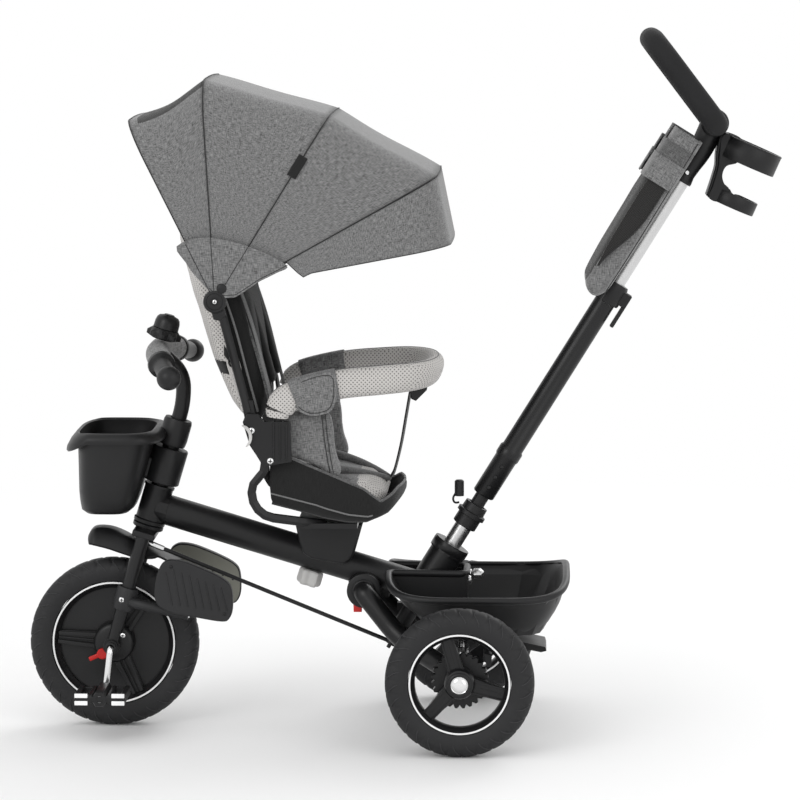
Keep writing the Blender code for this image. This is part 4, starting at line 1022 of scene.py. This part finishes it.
def push_bar():
    sleeve = [(11.6, 116), (15.2, 116), (16.8, 118), (16.8, 180), (18.4, 183), (18.4, 196),
              (16.2, 199), (15.9, 455), (12.6, 455)]
    turned("outer_tube_sleeve", POST_BASE, POST_UP, sleeve, "paint", "post", 64,
           ("outer_tube",), ring=True)
    for k, along in enumerate((132, 150, 168)):
        rod(f"coupling_pin_{k}", post(along, -18.4), post(along, -14), 3.0, "plastic", "post", 24)
    turned("post_sleeve", POST_BASE, POST_UP, [(17.2, 62), (18.4, 63), (18.4, 79), (22, 80),
                                              (22, 86), (18.2, 87.4), (17.6, 99), (13, 99.4),
                                              (13, 62)], "plastic", "post", 64, ring=True)
    clamp = [(12.6, 455.6), (19.4, 455.6), (20.6, 458), (20.6, 484), (19, 488.4), (12.6, 488.4)]
    turned("tube_clamp_ring", POST_BASE, POST_UP, clamp, "plastic", "post", 64,
           ("tube_clamp",), ring=True)
    tilt = Matrix.Rotation(POST_TILT, 4, "Y")
    for tag, side in SIDES:
        block(f"tube_clamp_lug_{tag}", post(472, side * 9.2, 22), (16, 5, 21), "plastic", "post",
              tilt, 1.6)
    block("flip_lever_blade", post(452, 0, 27.4), (6, 12.4, 48), "plastic", "flip_lever", tilt, 2,
          ("flip_lever",))
    turned("inner_tube_skin", POST_BASE, POST_UP, [(0, 690), (12, 690), (12, 330), (0, 330)],
           "zinc", "upper_bar", 64, ("inner_tube",))
    neck = smooth_path([post(668), post(690), post(716), HANDLE_HUB], 8)
    sizes = [13.4 + 6.8 * (k / (len(neck) - 1)) ** 1.6 for k in range(len(neck))]
    tube("neck_body", neck, sizes, "plastic", "upper_bar", 40, ("neck",))
    rod("neck_head", HANDLE_HUB - Vector((0, 22, 0)), HANDLE_HUB + Vector((0, 22, 0)), 20.4,
        "plastic", "upper_bar", 64, 2.4)
    rod("neck_pin", post(680, -17.6), post(680, -12), 3.4, "chrome", "upper_bar", 24)
    turned("neck_collar", POST_BASE, POST_UP, [(12.2, 664), (15.2, 664), (15.6, 667), (14, 676),
                                              (12.2, 676)], "plastic", "upper_bar", 48, ring=True)
    reach = Vector((-0.605, 0, 0.796))
    corners = [HANDLE_HUB + Vector((0, 22.6, 0)), HANDLE_HUB + Vector((0, 98, 0)),
               HANDLE_HUB + reach * 152 + Vector((0, 98, 0)),
               HANDLE_HUB + reach * 152 + Vector((0, -98, 0)),
               HANDLE_HUB + Vector((0, -98, 0)), HANDLE_HUB + Vector((0, -22.6, 0))]
    tube("handle_foam", rounded(corners, 52, 14), 16.6, "foam", "handle", 48, ("handle_loop",))
    cup_holder()
    bag()


def arc_band(name, centre, axis, radius, wall, low, high, start, end, look, body, replaces=()):
    """Part of a ring wall, open between its ends, with rounded edges."""
    turn = frame_along(axis)
    bm = bmesh.new()
    loops = []
    count = 72
    for k in range(count + 1):
        angle = math.radians(start + (end - start) * k / count)
        ease = min(1.0, k / 3, (count - k) / 3)
        tall = (high - low) / 2 * (0.72 + 0.28 * math.sqrt(ease))
        middle = (low + high) / 2
        loop = []
        for r, h in ((radius, -tall + 1), (radius + 0.6, -tall), (radius + wall - 0.6, -tall),
                     (radius + wall, -tall + 1), (radius + wall, tall - 1),
                     (radius + wall - 0.6, tall), (radius + 0.6, tall), (radius, tall - 1)):
            flat = Vector((r * math.cos(angle), r * math.sin(angle), middle + h))
            loop.append(Vector(centre) + turn @ flat)
        loops.append(loop)
    skin(bm, loops)
    return made(name, bm, look, body, replaces)


def cup_holder():
    """Cup ring and cradle, joined behind the neck by a C-shaped web."""
    lean = math.radians(23.6)
    up = Vector((math.sin(lean), 0, math.cos(lean)))
    ring, cradle = post(748, 0, 63), post(680, 0, 79)
    arc_band("cup_ring", ring, up, 42.6, 3.5, -15, 15, 0, 359.9, "plastic", "upper_bar",
             ("cup_holder",))
    tube("cup_ring_lip", [ring + up * 15 + frame_along(up) @ Vector(
        (44.6 * math.cos(a), 44.6 * math.sin(a), 0)) for a in (
            math.pi * 2 * k / 72 for k in range(73))], 2.0, "plastic", "upper_bar", 12)
    arc_band("cup_cradle", cradle, up, 32.2, 3.9, -10, 10, 0, 359.9, "plastic", "upper_bar")
    turned("cup_floor", cradle, up, [(0, -6), (33, -6), (33, -10), (0, -10)], "plastic",
           "upper_bar", 64)
    web = [(468, 884), (462.5, 857), (461, 838), (457, 822), (452, 806), (447, 793), (458, 786),
           (474, 790), (480, 801), (470, 812), (467, 825), (473, 838), (490, 844), (500, 868),
           (490, 880)]
    points = smooth_path([Vector((x, 0, z)) for x, z in web], 4, closed=True)
    for tag, side in SIDES:
        plate(f"cup_web_{tag}", [(p.x, p.z) for p in points], side * 24.5, side * 28, "plastic",
              "upper_bar", 1.2)
    spine = [(466, 0, 884), (460, 0, 857), (459, 0, 838), (455, 0, 822), (450, 0, 806),
             (446, 0, 794)]
    rows = [[Vector(point) + Vector((0, y, 0)) for y in (-26, -14, 0, 14, 26)]
            for point in smooth_path(spine, 5)]
    grid_piece("cup_back", rows, "plastic", "upper_bar", 3.6)


def bag():
    """Slim organiser hung in front of the push bar, with a mesh pocket on each side."""
    levels = [(455, 6, 74, -25), (461, 26, 88, -27), (474, 34, 92, -28), (520, 38, 93, -29),
              (570, 40, 94, -29), (620, 41, 94, -29.5), (660, 40, 94, -29), (700, 36, 92, -28),
              (720, 28, 88, -29), (727, 8, 74, -31)]
    loops = []
    for along, depth, half, back in levels:
        loop = []
        for flat in oval((0, 0, 0), depth / 2, half, 6, 72):
            notch = 8 * max(0.0, 1 - (flat.y / 30) ** 4) if flat.x > 0 else 0.0
            loop.append(post(along, flat.y, back + flat.x - notch))
        loops.append(loop)
    bm = bmesh.new()
    skin(bm, loops)
    body = made("bag_body", bm, "melange", None)
    inflate(body, 5.0, 3.0, 2.5)
    body.data.materials.append(LOOKS["black_mesh"])
    for face in body.data.polygons:
        place = Vector(face.center) / MM - POST_BASE
        if place.dot(POST_UP) < 655 and place.dot(POST_BACK) < -45:
            face.material_index = 1
    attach(body, "upper_bar")
    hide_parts("bag")
    curve = [(646, -19), (596, -19.4), (565, -24), (540, -32), (518, -39), (500, -42)]
    front = [(500, -44), (540, -47), (580, -48), (620, -48.5), (646, -48)]
    for tag, side in SIDES:
        y = side * 96.2
        pocket = [(p.x, p.z) for p in smooth_path([post(a, 0, b) for a, b in curve], 4)]
        pocket += [(p.x, p.z) for p in smooth_path([post(a, 0, b) for a, b in front], 4)]
        plate(f"bag_pocket_{tag}", pocket, side * 93, y, "black_mesh", "upper_bar", 0.9)
        for name, line in (("curve", curve), ("strip", [(456, -13), (560, -12), (725, -14)])):
            path = smooth_path([post(a, side * (96.4 if name == "curve" else 95.2), b)
                                for a, b in line], 5)
            tube(f"bag_{name}_{tag}", path, 0.8, "seam", "upper_bar", 8)
    for k, (low, high, half, lead) in enumerate(((645, 684, 98, -58.5), (672, 708, 96.6, -57),
                                                 (697, 729, 94.4, -52))):
        rows = []
        for along in (low, low + 1.5, (low + high) / 2, high):
            row = []
            for p in oval((0, 0, 0), (-8 - lead) / 2, half, 7, 96):
                if p.x < (-8 - lead) / 2 * 0.97 or abs(p.y) > half * 0.9:
                    row.append((math.atan2(p.x, p.y), p))
            row.sort(key=lambda item: (item[0] + math.pi / 2) % (2 * math.pi))
            rows.append([post(along, p.y, (lead - 8) / 2 + p.x) for _, p in row])
        grid_piece(f"bag_tier_{k}", rows, "melange_dark" if k == 1 else "melange", "upper_bar",
                   1.8)


# ---------------------------------------------------------------- seat

def seat_edge(x):
    """Height of the shell's upper edge at a place along it."""
    line = ((-190, 426), (-155, 418), (-91, 391), (-52, 374), (-28, 354), (-13, 362), (-4, 370),
            (4, 371))
    for (x0, z0), (x1, z1) in zip(line, line[1:]):
        if x <= x1:
            return z0 + (z1 - z0) * max(0.0, x - x0) / (x1 - x0)
    return line[-1][1]


def seat_foot(x):
    """Height of the shell's underside at a place along it."""
    line = ((-190, 352), (-107, 331), (-75, 326), (-46, 326), (-16, 337), (0, 352), (4, 356))
    for (x0, z0), (x1, z1) in zip(line, line[1:]):
        if x <= x1:
            return z0 + (z1 - z0) * max(0.0, x - x0) / (x1 - x0)
    return line[-1][1]


def seat():
    give("seat_frame", "paint")
    half = [(-187, 131), (-150, 131), (-110, 131), (-62, 130.5), (-33, 123), (-12, 97),
            (-1, 56), (3, 18)]
    plan = smooth_path([Vector((x, -y, 0)) for x, y in half]
                       + [Vector((x, y, 0)) for x, y in reversed(half)], 8)
    rows = []
    for part, inset in ((0, 9), (0.05, 3.5), (0.14, 0.6), (0.35, -1.2), (0.6, -1.6), (0.85, -0.6),
                        (0.97, 0.2), (1.0, 1.6)):
        row = []
        for p in plan:
            foot, top = seat_foot(p.x), seat_edge(p.x)
            shrink = 1 - inset / 131
            row.append(Vector(((p.x + 90) * shrink - 90, p.y * shrink, foot + (top - foot) * part)))
        rows.append(row)
    grid_piece("seat_skin", rows, "black_cloth", "seat", 3, ("seat_shell",))
    under = []
    for k in range(25):
        x = -186 + 184 * k / 24
        wide = 124 if x < -62 else max(20.0, min(p.y for p in plan if abs(p.x - x) < 9 and p.y > 0) - 7)
        under.append([Vector((x, wide * j / 6, seat_foot(x) + 1.5)) for j in range(-6, 7)])
    grid_piece("seat_underside", under, "black_cloth", "seat", 3)
    for tag, side in SIDES:
        piping = [(p.x, p.y * 1.012, seat_foot(p.x) + 17 - 14 * max(0, (p.x + 120) / 120))
                  for p in plan if p.y * side > 40 and p.x < -38]
        tube(f"seat_piping_{tag}", piping, 1.25, "grey_webbing", "seat", 12)
        edge = [(p.x, p.y, seat_edge(p.x) + 0.8) for p in plan if p.y * side > 0]
        tube(f"seat_edge_{tag}", edge, 1.9, "melange_dark", "seat", 12)
    cushion()
    brackets()
    bumper()
    straps()


def cushion():
    base = [(-176, 366), (-110, 343), (-74, 338), (-48, 338), (-24, 347), (-14, 357), (-17, 366),
            (-44, 380), (-100, 386), (-160, 397), (-176, 400)]
    half = 117
    bm = bmesh.new()
    loops = []
    for k in range(13):
        y = -half + 2 * half * k / 12
        front = -6 - 52 * (abs(y) / half) ** 3
        loops.append([Vector((min(x, front), y, z)) for x, z in base])
    skin(bm, loops)
    pad = made("seat_pad", bm, ["melange", "light_mesh"], None)
    inflate(pad, 5.0, 4.0, 5.0)
    for face in pad.data.polygons:
        place = Vector(face.center) / MM
        if place.x > -62 and place.z > 350:
            face.material_index = 1
    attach(pad, "seat")
    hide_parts("seat_cushion")
    wing = [(-180, 438), (-176, 462), (-168, 484), (-140, 487), (-112, 488), (-100, 482),
            (-94, 455), (-90, 425), (-84, 398), (-96, 390), (-124, 405), (-160, 420)]
    for tag, side in SIDES:
        inside, outside = side * 104, side * 124
        bm = bmesh.new()
        points = smooth_path([Vector((x, 0, z)) for x, z in wing], 4, closed=True)
        skin(bm, [[p + Vector((0, y, 0)) for p in points]
                  for y in (inside, (inside + outside) / 2, outside)])
        side_pad = made(f"seat_wing_{tag}", bm, "melange", None)
        inflate(side_pad, 4.0, 3.0, 3.0)
        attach(side_pad, "seat")
        for k, shift in enumerate((0, 5)):
            seam = smooth_path([(-113 + shift, side * 127.4, 486), (-110 + shift, side * 128, 455),
                                (-106 + shift, side * 128, 425), (-101 + shift, side * 127, 398)], 6)
            tube(f"seat_seam_{tag}_{k}", seam, 0.6, "seam", "seat", 10)


def brackets():
    for tag, side in SIDES:
        low, high = side * 147.6, side * 149.4
        outline = [(-224, 474), (-220, 486), (-204, 486), (-196, 475), (-158, 475), (-155, 417),
                   (-196, 409), (-215, 440)]
        plate(f"bracket_face_{tag}", outline, low, high, "paint", "seat", 0.8)
        for k, (x, z) in enumerate(((-213, 462), (-186, 418))):
            screw(f"bracket_bolt_{tag}_{k}", (x, side * 150, z), (0, side, 0), 5.2, "seat")
        for k, x in enumerate((-181, -172, -163)):
            tube(f"socket_ridge_{tag}_{k}", [(x, side * 149.6, 420), (x, side * 149.6, 471)], 1.6,
                 "paint", "seat", 12, round_ends=True)
    crescent = [(-227, 470), (-220, 469), (-214, 462), (-212, 452), (-215, 443), (-221, 439),
                (-217, 448), (-217, 457), (-221, 464)]
    plate("recline_blade", crescent, -155.4, -150.4, "light_plastic", "recline_lever", 1.2,
          ("recline_lever",), smooth=4)


def bumper():
    """Padded bar: a smooth oval section with a seam, mesh cover and wrapped sleeves."""
    half_path = [(-176, 139, 480), (-173, 139, 494), (-154, 136.5, 511), (-90, 130, 527),
                 (-30, 124, 533), (12, 109, 536), (37, 68, 537), (46, 0, 537)]
    corners = half_path + [(x, -y, z) for x, y, z in reversed(half_path[:-1])]
    path = smooth_path(corners, 7)
    loops = []
    sides = 36
    count = len(path)
    for i, point in enumerate(path):
        along = (path[min(i + 1, count - 1)] - path[max(i - 1, 0)]).normalized()
        across = along.cross(Vector((0.35, 0, 1))).normalized()
        upright = min(1.0, max(0.0, (abs(along.z) - 0.6) / 0.35))
        sideways = Vector((0, 1 if across.y > 0 else -1, 0))
        across = across.lerp(sideways, upright).normalized()
        rise = across.cross(along).normalized()
        ends = min(1.0, min(i, count - 1 - i) / 9)
        tall = 15 + 6.4 * ends
        wide = 11.6 + 1.8 * ends
        loop = []
        for k in range(sides):
            angle = 2 * math.pi * k / sides
            c, s = math.cos(angle), math.sin(angle)
            loop.append(point + across * wide * math.copysign(abs(c) ** 0.85, c)
                        + rise * tall * math.copysign(abs(s) ** 0.85, s))
        loops.append(loop)
    bm = bmesh.new()
    skin(bm, loops)
    bar = made("bumper_cover", bm, "light_mesh", "bumper", ("bumper_bar",))
    for j, (turn, tag) in enumerate(((0.26, "top"), (-0.24, "foot"))):
        line = []
        for loop in loops[10:-10]:
            line.append(loop[int(turn * sides) % sides])
        tube(f"bumper_seam_{tag}", line, 0.8, "melange_dark", "bumper", 8)
    for tag, side in SIDES:
        span = [i for i, p in enumerate(path) if p.y * side > 0 and -158 < p.x < -84]
        rows = []
        for i in range(min(span), max(span) + 1):
            centre = path[i]
            rows.append([centre + (p - centre) * 1.09 for p in loops[i]] + [
                centre + (loops[i][0] - centre) * 1.09])
        if len(rows) > 2:
            grid_piece(f"bumper_sleeve_{tag}", rows, "melange", "bumper", 1.8)
        flap = smooth_path([Vector((x, side * 148.2, z)) for x, z in
                            ((-150, 531), (-98, 547), (-90, 520), (-96, 494), (-112, 485),
                             (-134, 485), (-152, 500))], 5, closed=True)
        plate(f"bumper_flap_{tag}", [(p.x, p.z) for p in flap], side * 145.6, side * 147.4,
              "melange", "bumper", 0.7)
        stitch = [Vector((-122 + (p.x + 122) * 0.87, side * 147.7, 513 + (p.z - 513) * 0.87))
                  for p in flap]
        tube(f"bumper_stitch_{tag}", stitch + [stitch[0]], 0.5, "seam", "bumper", 8)
    for tag, side in SIDES:
        rod(f"bumper_prong_{tag}", (-176, side * 139, 426), (-176, side * 139, 484), 6, "plastic",
            "bumper", 28)


def straps():
    path = smooth_path([(15, 0, 515), (12, 0, 500), (6, 0, 465), (-1, 0, 425), (-10, 0, 388),
                        (-15, 0, 377)], 8)
    strap("crotch_webbing", path, (0, 1, 0), 30, "grey_webbing", "bumper", 2.4,
          ("crotch_strap",))
    edge = [point + Vector((-2.2, 0, 0)) for point in path]
    strap("crotch_backing", edge, (0, 1, 0), 30, "webbing", "bumper", 2.0)
    plate("crotch_buckle", [(10, 513), (38, 519), (36, 506), (20, 490), (13, 493)], -17, 17,
          "plastic", "bumper", 2.4)
    for tag, side in SIDES:
        belt = smooth_path([(-150, side * 96, 402), (-112, side * 84, 400),
                            (-76, side * 60, 393), (-46, side * 32, 384), (-24, side * 8, 375)], 8)
        sizes = [11.5 - 3.5 * k / (len(belt) - 1) for k in range(len(belt))]
        pad = tube(f"belt_pad_{tag}", belt, sizes, "melange_dark", "seat", 20, tall=0.55,
                   round_ends=True)
        line = [point + Vector((0, 0, -5.4)) for point in belt]
        tube(f"belt_webbing_{tag}", line, 2.6, "webbing", "seat", 12, tall=0.6)


# ---------------------------------------------------------------- backrest and canopy

def backrest():
    give("back_frame", "paint")
    give("rib_rear", "paint")
    loops = []
    for z, rear, front, half in ((468, -216, -200, 96), (476, -228, -198, 110),
                                 (500, -243, -199, 118), (560, -268, -205, 124),
                                 (610, -284, -213, 125), (660, -299, -224, 126),
                                 (740, -319, -252, 124), (774, -322, -268, 116),
                                 (784, -312, -280, 98)):
        middle = Vector(((rear + front) / 2, 0, z))
        loops.append(oval(middle, (front - rear) / 2, half, 6, 56))
    bm = bmesh.new()
    skin(bm, loops)
    pad = made("back_cushion", bm, ["light_mesh", "black_cloth", "melange"], None)
    inflate(pad, 5.5, 3.5, 4.0)
    for face in pad.data.polygons:
        place = Vector(face.center) / MM
        middle = -206 - (place.z - 466) * 0.265
        ahead = place.x - middle
        if ahead > -8:
            face.material_index = 1
        elif 540 < place.z < 560:
            face.material_index = 1
    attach(pad, "back")
    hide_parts("back_pad")
    for tag, side in SIDES:
        for k, (y, sink) in enumerate(((58, 0), (100, 3))):
            line = smooth_path([(-270 - sink, side * y, 774), (-245 - sink, side * y, 700),
                                (-214 - sink, side * y, 600), (-192 - sink, side * y, 520),
                                (-188, side * y * 0.95, 480)], 8)
            strap(f"shoulder_{tag}_{k}", line, (0, 1, 0), 26, "melange_dark" if k else "webbing",
                  "back", 3.0)
        pad_line = smooth_path([(-222, side * 58, 640), (-205, side * 58, 585),
                                (-191, side * 58, 535)], 8)
        cover = tube(f"shoulder_pad_{tag}", pad_line, [13] * len(pad_line), "black_cloth", "back",
                     20, tall=0.5, round_ends=True)
        for k, (shift, size) in enumerate(((0, 1.7), (26, 2.4))):
            piping = smooth_path([(-287 + shift, side * (128 - k * 4), 745),
                                  (-262 + shift, side * (129 - k * 4), 680),
                                  (-238 + shift, side * (129 - k * 4), 610),
                                  (-220 + shift, side * (126 - k * 4), 540),
                                  (-206 + shift, side * (118 - k * 4), 486)], 8)
            tube(f"back_piping_{tag}_{k}", piping, size, "grey_webbing", "back", 12)
        flap = [(-251, 562), (-232, 560), (-226, 520), (-222, 500), (-232, 504), (-240, 524)]
        points = smooth_path([Vector((x, 0, z)) for x, z in flap], 4, closed=True)
        plate(f"back_flap_{tag}", [(p.x, p.z) for p in points], side * 124, side * 127.5,
              "light_cloth", "back", 1.2)
        strap(f"back_webbing_{tag}", [(-254, side * 128.4, 576), (-246, side * 129, 566),
                                      (-232, side * 129, 556)], (0, 0, 1), 14, "webbing", "back",
              2.0)
        bm = bmesh.new()
        ring = [Vector((-240 + 7 * math.cos(a), side * 130.6, 560 + 8 * math.sin(a)))
                for a in (math.pi * 2 * k / 20 for k in range(21))]
        skin(bm, path_loops(ring, 1.3, 10))
        made(f"back_ring_{tag}", bm, "plastic", "back")
        hub = Vector((HUB.x, side * 187, HUB.z))
        turned(f"canopy_hub_{tag}", hub, (0, side, 0),
               [(0, 1.6), (5, 1.6), (5.4, 2.6), (9, 2.8), (11.4, 2.2), (12.2, 3.2), (15.4, 2.6),
                (16.6, 0.6), (16.6, -8), (0, -8)], "plastic", "back", 64)
        screw(f"canopy_screw_{tag}", hub + Vector((0, side * 2.2, 0)), (0, side, 0), 3.6, "back")
        plate(f"canopy_clip_{tag}", [(-268, 640), (-250, 646), (-246, 632), (-254, 624),
                                     (-264, 626)], side * 178, side * 186, "plastic", "back", 1.6)


def arch(lean, length, half=CLOTH_HALF, corner=CLOTH_CORNER, lift=7.0, start=14.0, fine=1):
    """Points over a canopy bow, from the left hub to the right one."""
    up = Vector((math.sin(math.radians(lean)), 0, math.cos(math.radians(lean))))
    low, top = HUB + up * start, HUB + up * (length + lift)
    side = Vector((0, 1, 0))
    leg = []
    for k in range(14 * fine):
        part = k / (14 * fine)
        point = low.lerp(top - up * corner, part)
        near = max(0.0, 1 - (point - HUB).length / 52)
        leg.append(point - side * (half + 7.4 * near * near * (3 - 2 * near)))
    bend = []
    for k in range(13):
        angle = math.pi / 2 * k / 12
        bend.append(top - up * corner * (1 - math.sin(angle))
                    - side * (half - corner * (1 - math.cos(angle))))
    middle = []
    for k in range(1, 8):
        part = k / 8
        middle.append(top - side * (half - corner) * (1 - part)
                      + up * 2 * math.sin(part * math.pi / 2))
    left = leg + bend + middle
    crest = top + up * 2
    return left + [crest] + [Vector((p.x, -p.y, p.z)) for p in reversed(left)]


def canopy():
    for node in ("rib_upright", "rib_middle", "rib_front"):
        give(node, "paint")
    spans = (("rear", "upright", "canopy_rear", "back", "bow_upright"),
             ("upright", "middle", "canopy_middle", "bow_upright", "bow_middle"),
             ("middle", "front", "canopy_front", "bow_middle", "bow_front"))
    for first, second, node, body_a, body_b in spans:
        lean_a, length_a = RIBS[first]
        lean_b, length_b = RIBS[second]
        rows = []
        count = 18
        for k in range(count + 1):
            part = k / count
            lean = lean_a * (1 - part) + lean_b * part
            length = length_a * (1 - part) + length_b * part
            sag = 15 * math.sin(math.pi * part)
            row = arch(lean, length, lift=7 - sag)
            for i, point in enumerate(row):
                place = i / (len(row) - 1)
                ripple = 0.9 * math.sin(place * 43 + k * 0.7) * math.sin(math.pi * part)
                point.y *= 1 + ripple * 0.0012
            rows.append(row)
        looks = ["melange", "black_mesh"] if first == "rear" else ["melange"]
        thing, area = grid_piece(f"{node}_cloth", rows, looks, None, 1.3)
        if first == "rear":
            window(thing)
        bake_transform(thing)
        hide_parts(node)
    seams = (("rear", "back"), ("upright", "bow_upright"), ("middle", "bow_middle"),
             ("front", "bow_front"))
    for name, body in seams:
        lean, length = RIBS[name]
        line = arch(lean, length, CLOTH_HALF + 0.7, lift=7.9)
        tube(f"canopy_seam_{name}", line, 0.85, "seam", body, 8)
    visor()
    canopy_details()


def window(thing):
    """Black mesh panel in the top of the rear cloth."""
    lean, length = RIBS["rear"]
    for face in thing.data.polygons:
        place = Vector(face.center) / MM
        away = place - Vector((HUB.x, place.y, HUB.z))
        turn = math.degrees(math.atan2(away.x, away.z))
        if abs(place.y) < 150 and away.length > length - 44 and -24.5 < turn < -4.0:
            face.material_index = 1


def visor():
    """Brim cut straight along its lower edge, with a short flap behind its rear corner."""
    lean, length = RIBS["front"]
    edge = arch(lean + 0.3, length, start=118, fine=2)
    rows = []
    count = 16
    for step in range(count + 1):
        part = step / count
        row = []
        for point in edge:
            flat = point - HUB - Vector((0, point.y, 0))
            reach = flat.length / length
            drop = 32 + 64 * max(0.0, (reach - 0.42) / 0.58)
            drop *= min(1.0, max(0.0, (reach - 0.33) / 0.055))
            row.append(point + Vector((0.2, 0, -0.98)) * drop * part)
        rows.append(row)
    thing, area = grid_piece("visor_cloth", rows, "melange", "bow_front", 1.4, ("visor",))
    tube("visor_hem", rows[-1], 0.9, "seam", "bow_front", 8)


def canopy_details():
    """Cloth that runs together at the hub, its snap button, and a blank fabric tab."""
    outline = [(-316, 731), (-303, 708), (-292, 692), (-281, 680), (-270.5, 669), (-261, 661),
               (-249, 658), (-238, 658), (-230, 660), (-210, 673), (-198, 681), (-186, 687),
               (-172, 694), (-157.5, 701.5), (-170, 712), (-200, 726), (-236, 738), (-280, 744)]
    points = smooth_path([Vector((x, 0, z)) for x, z in outline], 3, closed=True)
    for tag, side in SIDES:
        plate(f"canopy_gusset_{tag}", [(p.x, p.z) for p in points], side * 187.6, side * 189.0,
              "melange", "bow_upright", 0.6)
        hem = smooth_path([Vector((x, side * 189.2, z)) for x, z in outline[4:14]], 3)
        tube(f"canopy_hem_{tag}", [p + Vector((0, 0, 3.4)) for p in hem], 0.45, "seam",
             "bow_upright", 8)
        for k, (name, low, high) in enumerate((("rear", 12, 92), ("upright", 12, 92),
                                               ("middle", 14, 96))):
            lean = math.radians(RIBS[name][0])
            up = Vector((math.sin(lean), 0, math.cos(lean)))
            line = [HUB + up * along + Vector((0, side * 189.3, 0))
                    for along in (low, (low + high) / 2, high)]
            tube(f"canopy_line_{tag}_{k}", line, 0.5, "seam", "bow_upright", 8)
        snap = Vector((-252, side * 189.2, 671))
        turned(f"canopy_snap_{tag}", snap, (0, side, 0),
               [(0, 1.8), (5.6, 1.7), (6.8, 1), (7.4, -0.5), (0, -0.5)], "plastic",
               "bow_upright", 40)
    lean, length = RIBS["middle"]
    up = Vector((math.sin(math.radians(lean)), 0, math.cos(math.radians(lean))))
    aside = Vector((up.z, 0, -up.x))
    centre = HUB + up * 226 + Vector((0, -CLOTH_HALF - 1.5, 0))
    rows = []
    for k, along in enumerate((-17, -15, 0, 15, 17)):
        bow = 0.7 if abs(along) > 16 else 0.0
        rows.append([centre + up * along + aside * across + Vector((0, bow - 0.9, 0))
                     for across in (-7, -3, 0, 3, 7)])
    grid_piece("canopy_tab", rows, "webbing", "bow_middle", 1.2)


# ---------------------------------------------------------------- studio

def fade_out(look, near, far):
    """The floor turns to plain white between two distances from the object."""
    nodes, links = look.nodes, look.links
    place = nodes.new("ShaderNodeNewGeometry")
    away = nodes.new("ShaderNodeVectorMath")
    away.operation = "LENGTH"
    links.new(place.outputs["Position"], away.inputs[0])
    fade = nodes.new("ShaderNodeMapRange")
    fade.inputs["From Min"].default_value = near
    fade.inputs["From Max"].default_value = far
    links.new(away.outputs["Value"], fade.inputs["Value"])
    white = nodes.new("ShaderNodeEmission")
    mix = nodes.new("ShaderNodeMixShader")
    surface = next(node for node in nodes if node.type == "BSDF_PRINCIPLED")
    output = next(node for node in nodes if node.type == "OUTPUT_MATERIAL")
    links.new(fade.outputs["Result"], mix.inputs[0])
    links.new(surface.outputs[0], mix.inputs[1])
    links.new(white.outputs[0], mix.inputs[2])
    links.new(mix.outputs[0], output.inputs["Surface"])


def studio():
    scene = bpy.context.scene
    floor_look = Look("studio_floor", (0.86, 0.86, 0.86), 0.75)
    cloud = floor_look.noise(1.2, 2.0)
    floor_look.colour(floor_look.ramp(cloud, (0.2, grey(0.85)), (0.8, grey(0.88))))
    fade_out(floor_look, 1.0, 2.6)
    bm = bmesh.new()
    rows = []
    for y in (-14, -4, 4, 30):
        rows.append([bm.verts.new((x, y, 0)) for x in (-24, 24)])
    for row, following in zip(rows, rows[1:]):
        bm.faces.new((row[0], row[1], following[1], following[0]))
    mesh = bpy.data.meshes.new("studio_floor")
    bm.to_mesh(mesh)
    bm.free()
    floor = bpy.data.objects.new("studio_floor", mesh)
    scene.collection.objects.link(floor)
    mesh.materials.append(floor_look.material)
    mesh.shade_smooth()
    world = bpy.data.worlds.new("studio")
    world.use_nodes = True
    world.node_tree.nodes["Background"].inputs["Color"].default_value = (1, 1, 1, 1)
    world.node_tree.nodes["Background"].inputs["Strength"].default_value = 1.0
    scene.world = world
    for name, place, size, power in (("key", (-2.6, -3.6, 2.6), 2.4, 52),
                                     ("fill", (3.0, -3.4, 1.7), 3.0, 26),
                                     ("rim", (1.6, 3.0, 2.6), 2.0, 34)):
        light = bpy.data.lights.new(name, "AREA")
        light.energy = power
        light.size = size
        lamp = bpy.data.objects.new(name, light)
        lamp.location = place
        aim = Vector((0, 0, 0.45)) - Vector(place)
        lamp.rotation_euler = aim.to_track_quat("-Z", "Y").to_euler()
        scene.collection.objects.link(lamp)
    camera = bpy.data.cameras.new("camera")
    camera.sensor_width = 36
    camera.lens = 3718 / 800 * 36
    camera.clip_end = 100
    eye = bpy.data.objects.new("camera", camera)
    eye.location = (0.1866, -5.458, 1.1409)
    target = Vector((-0.004, 0, 0.4896))
    eye.rotation_euler = (target - eye.location).to_track_quat("-Z", "Y").to_euler()
    scene.collection.objects.link(eye)
    scene.camera = eye
    scene.view_settings.view_transform = "Standard"


front_wheel()
for wheel_tag, wheel_side in SIDES:
    rear_wheel(wheel_tag, wheel_side)
main_frame()
star_knob()
rear_basket()
front_end()
push_bar()
seat()
backrest()
canopy()
studio()
